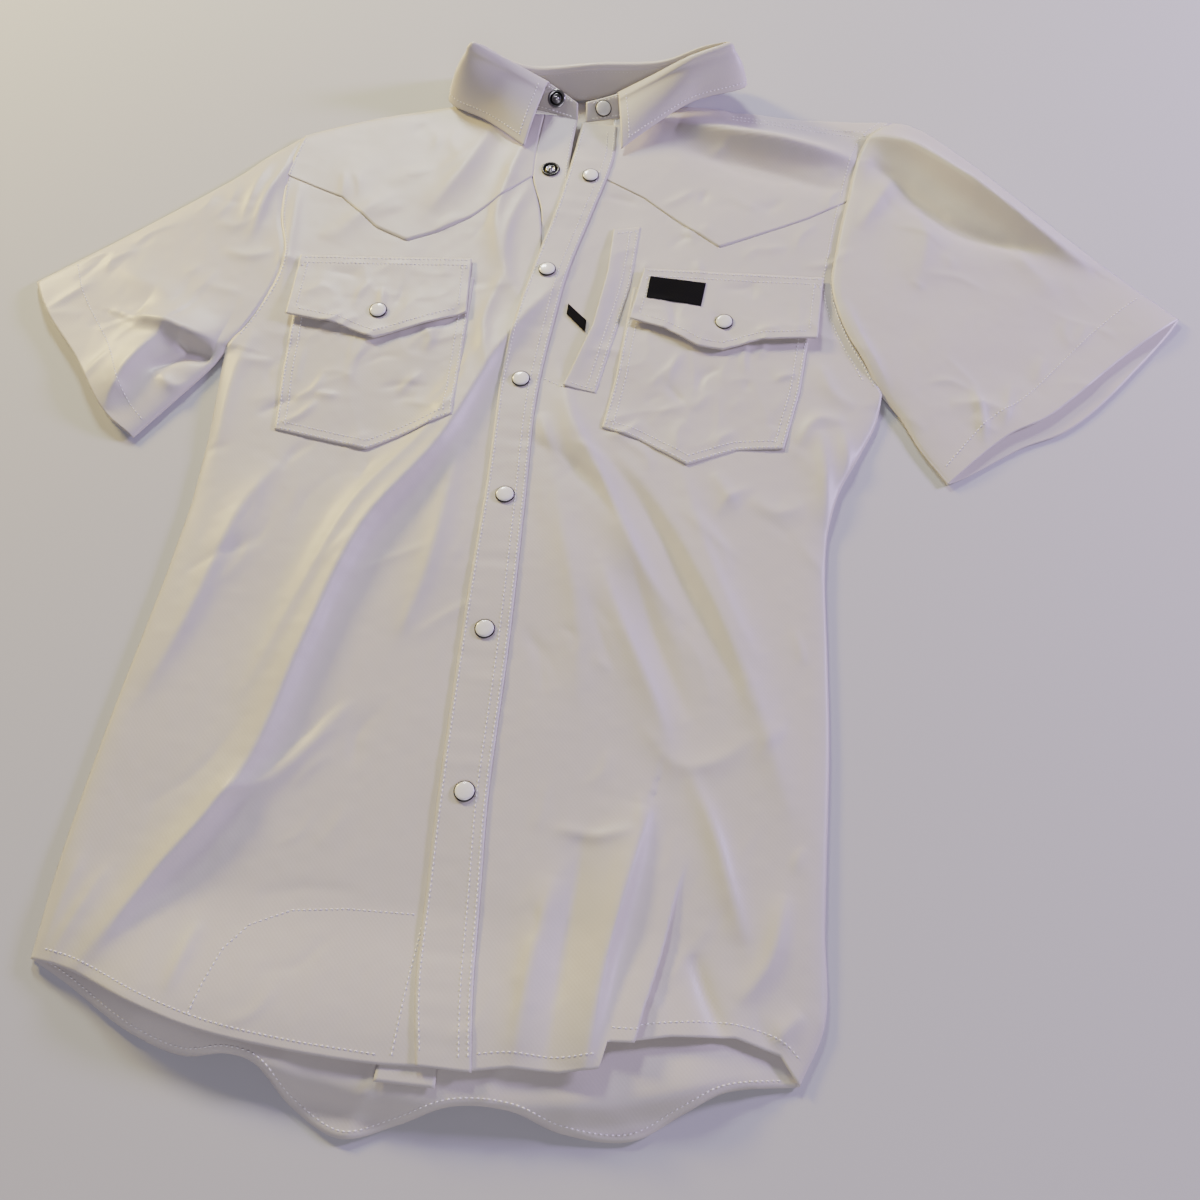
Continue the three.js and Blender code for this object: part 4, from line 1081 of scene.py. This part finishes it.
# ---------------------------------------------------------------- stage
def area_light(name, place, target, size, energy, colour):
    data = bpy.data.lights.new(name, "AREA")
    data.shape = "DISK"
    data.size = size
    data.energy = energy
    data.color = colour
    lamp = bpy.data.objects.new(name, data)
    bpy.context.scene.collection.objects.link(lamp)
    lamp.location = place
    lamp.rotation_euler = (Vector(target) - Vector(place)).to_track_quat("-Z", "Y").to_euler()


def build_stage(look):
    bm = bmesh.new()
    bmesh.ops.create_grid(bm, x_segments=8, y_segments=8, size=6)
    bmesh.ops.translate(bm, vec=(0, 0, -0.4 * MM), verts=bm.verts)
    floor = mesh_object("floor", bm)
    material = bpy.data.materials.new("Pale floor")
    material.use_nodes = True
    shader = material.node_tree.nodes["Principled BSDF"]
    shader.inputs["Base Color"].default_value = (*look.floor, 1)
    shader.inputs["Roughness"].default_value = 0.9
    floor.data.materials.append(material)

    area_light("key", (-0.5, 1.5, 0.95), (0, 0.05, 0), 0.35, look.key, (0.97, 1.0, 0.96))
    area_light("front fill", (0.3, -1.6, 1.5), (0, 0, 0), 1.2, look.fill, (0.9, 0.84, 1.0))
    area_light("cool side", (1.5, 0.6, 0.6), (0.05, 0, 0), 0.3, look.side, (0.66, 0.5, 1.0))
    area_light("warm side", (-1.3, 1.0, 0.58), (-0.05, 0, 0), 0.3, look.warm, (1.0, 0.8, 0.24))
    world = bpy.data.worlds.new("Studio")
    world.use_nodes = True
    world.node_tree.nodes["Background"].inputs["Color"].default_value = (0.86, 0.82, 1.0, 1)
    world.node_tree.nodes["Background"].inputs["Strength"].default_value = look.ambient
    bpy.context.scene.world = world

    data = bpy.data.cameras.new("camera")
    data.lens = 35.25
    data.sensor_width = 36
    camera = bpy.data.objects.new("camera", data)
    bpy.context.scene.collection.objects.link(camera)
    camera.location = on_shirt(97.5, -386.5, 637.6)
    camera.rotation_euler = (math.radians(26.57), 0, math.radians(6.2))
    bpy.context.scene.camera = camera


# ---------------------------------------------------------------- add-on
class ShirtSizes(bpy.types.PropertyGroup):
    """Sizes that a user would change."""

    cloth: bpy.props.FloatProperty(name="Cloth", description="Thickness of the shirting", default=0.0005, min=0.0001,
                                   precision=5, unit="LENGTH")
    stitch_length: bpy.props.FloatProperty(name="Stitch length", description="Length of a stitch", default=0.0021,
                                           min=0.0005, precision=5, unit="LENGTH")
    stitch_pitch: bpy.props.FloatProperty(name="Stitch pitch", description="From one stitch to the next",
                                          default=0.0029, min=0.001, precision=5, unit="LENGTH")
    stitch_width: bpy.props.FloatProperty(name="Stitch width", description="Width of a stitch", default=0.00085,
                                          min=0.0001, precision=5, unit="LENGTH")
    stitch_height: bpy.props.FloatProperty(name="Stitch height", description="How far a stitch stands proud",
                                           default=0.0005, min=0.0001, precision=5, unit="LENGTH")


class ShirtLook(bpy.types.PropertyGroup):
    """Colours and lights that a user would change."""

    shirting: bpy.props.FloatVectorProperty(name="Shirting", description="Colour of the cloth", subtype="COLOR",
                                            size=3, min=0, max=1, default=(0.565, 0.53, 0.475))
    thread: bpy.props.FloatVectorProperty(name="Thread", description="Colour of the stitches", subtype="COLOR",
                                          size=3, min=0, max=1, default=(0.9, 0.88, 0.86))
    pearl: bpy.props.FloatVectorProperty(name="Pearl", description="Colour of the snaps' caps", subtype="COLOR",
                                         size=3, min=0, max=1, default=(0.93, 0.92, 0.86))
    floor: bpy.props.FloatVectorProperty(name="Floor", description="Colour of the floor", subtype="COLOR", size=3,
                                         min=0, max=1, default=(0.5, 0.5, 0.5))
    key: bpy.props.FloatProperty(name="Key light", description="Power of the light beyond the collar", default=24,
                                 min=0, unit="POWER")
    side: bpy.props.FloatProperty(name="Side light", description="Power of the cool light", default=40, min=0,
                                  unit="POWER")
    warm: bpy.props.FloatProperty(name="Warm light", description="Power of the warm light", default=40, min=0,
                                  unit="POWER")
    fill: bpy.props.FloatProperty(name="Fill light", description="Power of the light from the front", default=21,
                                  min=0, unit="POWER")
    ambient: bpy.props.FloatProperty(name="Ambient", description="Strength of the surroundings", default=0.09, min=0,
                                     subtype="FACTOR")


class SHIRT_OT_materials(bpy.types.Operator):
    """Make the cloth, thread, pearl and metal materials; the dark metal also paints shade in the sockets."""

    bl_idname = "shirt.materials"
    bl_label = "Materials"

    def execute(self, context):
        make_materials(context.scene.shirt_look)
        return {"FINISHED"}


class SHIRT_OT_stage(bpy.types.Operator):
    """Make the floor, the lights and the camera."""

    bl_idname = "shirt.stage"
    bl_label = "Stage"

    def execute(self, context):
        build_stage(context.scene.shirt_look)
        return {"FINISHED"}


class SHIRT_OT_back(bpy.types.Operator):
    """Make the back panel with its tail."""

    bl_idname = "shirt.back"
    bl_label = "Back"

    def execute(self, context):
        build_back()
        return {"FINISHED"}


class SHIRT_OT_fronts(bpy.types.Operator):
    """Make both fronts."""

    bl_idname = "shirt.fronts"
    bl_label = "Fronts"

    def execute(self, context):
        build_fronts()
        return {"FINISHED"}


class SHIRT_OT_yokes(bpy.types.Operator):
    """Make both pointed yokes."""

    bl_idname = "shirt.yokes"
    bl_label = "Yokes"

    def execute(self, context):
        build_yokes()
        return {"FINISHED"}


class SHIRT_OT_bands(bpy.types.Operator):
    """Make the front band and the band under it."""

    bl_idname = "shirt.bands"
    bl_label = "Bands"

    def execute(self, context):
        build_bands()
        return {"FINISHED"}


class SHIRT_OT_sleeves(bpy.types.Operator):
    """Make both sleeves."""

    bl_idname = "shirt.sleeves"
    bl_label = "Sleeves"

    def execute(self, context):
        build_sleeves()
        return {"FINISHED"}


class SHIRT_OT_collar(bpy.types.Operator):
    """Make the collar stand and leaf."""

    bl_idname = "shirt.collar"
    bl_label = "Collar"

    def execute(self, context):
        build_collar()
        return {"FINISHED"}


class SHIRT_OT_pockets(bpy.types.Operator):
    """Make the pockets and flaps."""

    bl_idname = "shirt.pockets"
    bl_label = "Pockets"

    def execute(self, context):
        build_pockets()
        return {"FINISHED"}


class SHIRT_OT_trim(bpy.types.Operator):
    """Make the pen slot, tab and label."""

    bl_idname = "shirt.trim"
    bl_label = "Trim"

    def execute(self, context):
        build_trim()
        return {"FINISHED"}


class SHIRT_OT_snaps(bpy.types.Operator):
    """Make the snaps and open socket halves."""

    bl_idname = "shirt.snaps"
    bl_label = "Snaps"

    def execute(self, context):
        build_snaps()
        return {"FINISHED"}


class SHIRT_OT_stitching(bpy.types.Operator):
    """Make the rows of stitches."""

    bl_idname = "shirt.stitching"
    bl_label = "Stitching"

    def execute(self, context):
        build_stitching()
        return {"FINISHED"}


OPERATORS = [SHIRT_OT_materials, SHIRT_OT_back, SHIRT_OT_fronts, SHIRT_OT_yokes, SHIRT_OT_bands,
             SHIRT_OT_sleeves, SHIRT_OT_collar, SHIRT_OT_pockets, SHIRT_OT_trim,
             SHIRT_OT_snaps, SHIRT_OT_stitching, SHIRT_OT_stage]


class SHIRT_PT_panel(bpy.types.Panel):
    """Buttons for every piece."""

    bl_idname = "SHIRT_PT_panel"
    bl_label = "Shirt"
    bl_space_type = "VIEW_3D"
    bl_region_type = "UI"
    bl_category = "Shirt"

    def draw(self, context):
        for group, settings in ((ShirtSizes, context.scene.shirt_sizes), (ShirtLook, context.scene.shirt_look)):
            for name in group.__annotations__:
                self.layout.prop(settings, name)
        for operator in OPERATORS:
            self.layout.operator(operator.bl_idname)


CLASSES = [ShirtSizes, ShirtLook, *OPERATORS, SHIRT_PT_panel]


def register():
    for cls in CLASSES:
        bpy.utils.register_class(cls)
    bpy.types.Scene.shirt_sizes = bpy.props.PointerProperty(type=ShirtSizes)
    bpy.types.Scene.shirt_look = bpy.props.PointerProperty(type=ShirtLook)


def unregister():
    del bpy.types.Scene.shirt_look
    del bpy.types.Scene.shirt_sizes
    for cls in reversed(CLASSES):
        bpy.utils.unregister_class(cls)


def main():
    register()
    bpy.ops.shirt.materials()
    bpy.ops.shirt.back()
    bpy.ops.shirt.fronts()
    bpy.ops.shirt.yokes()
    bpy.ops.shirt.bands()
    bpy.ops.shirt.sleeves()
    bpy.ops.shirt.collar()
    bpy.ops.shirt.pockets()
    bpy.ops.shirt.trim()
    bpy.ops.shirt.snaps()
    bpy.ops.shirt.stitching()
    bpy.ops.shirt.stage()


if __name__ == "__main__":
    main()
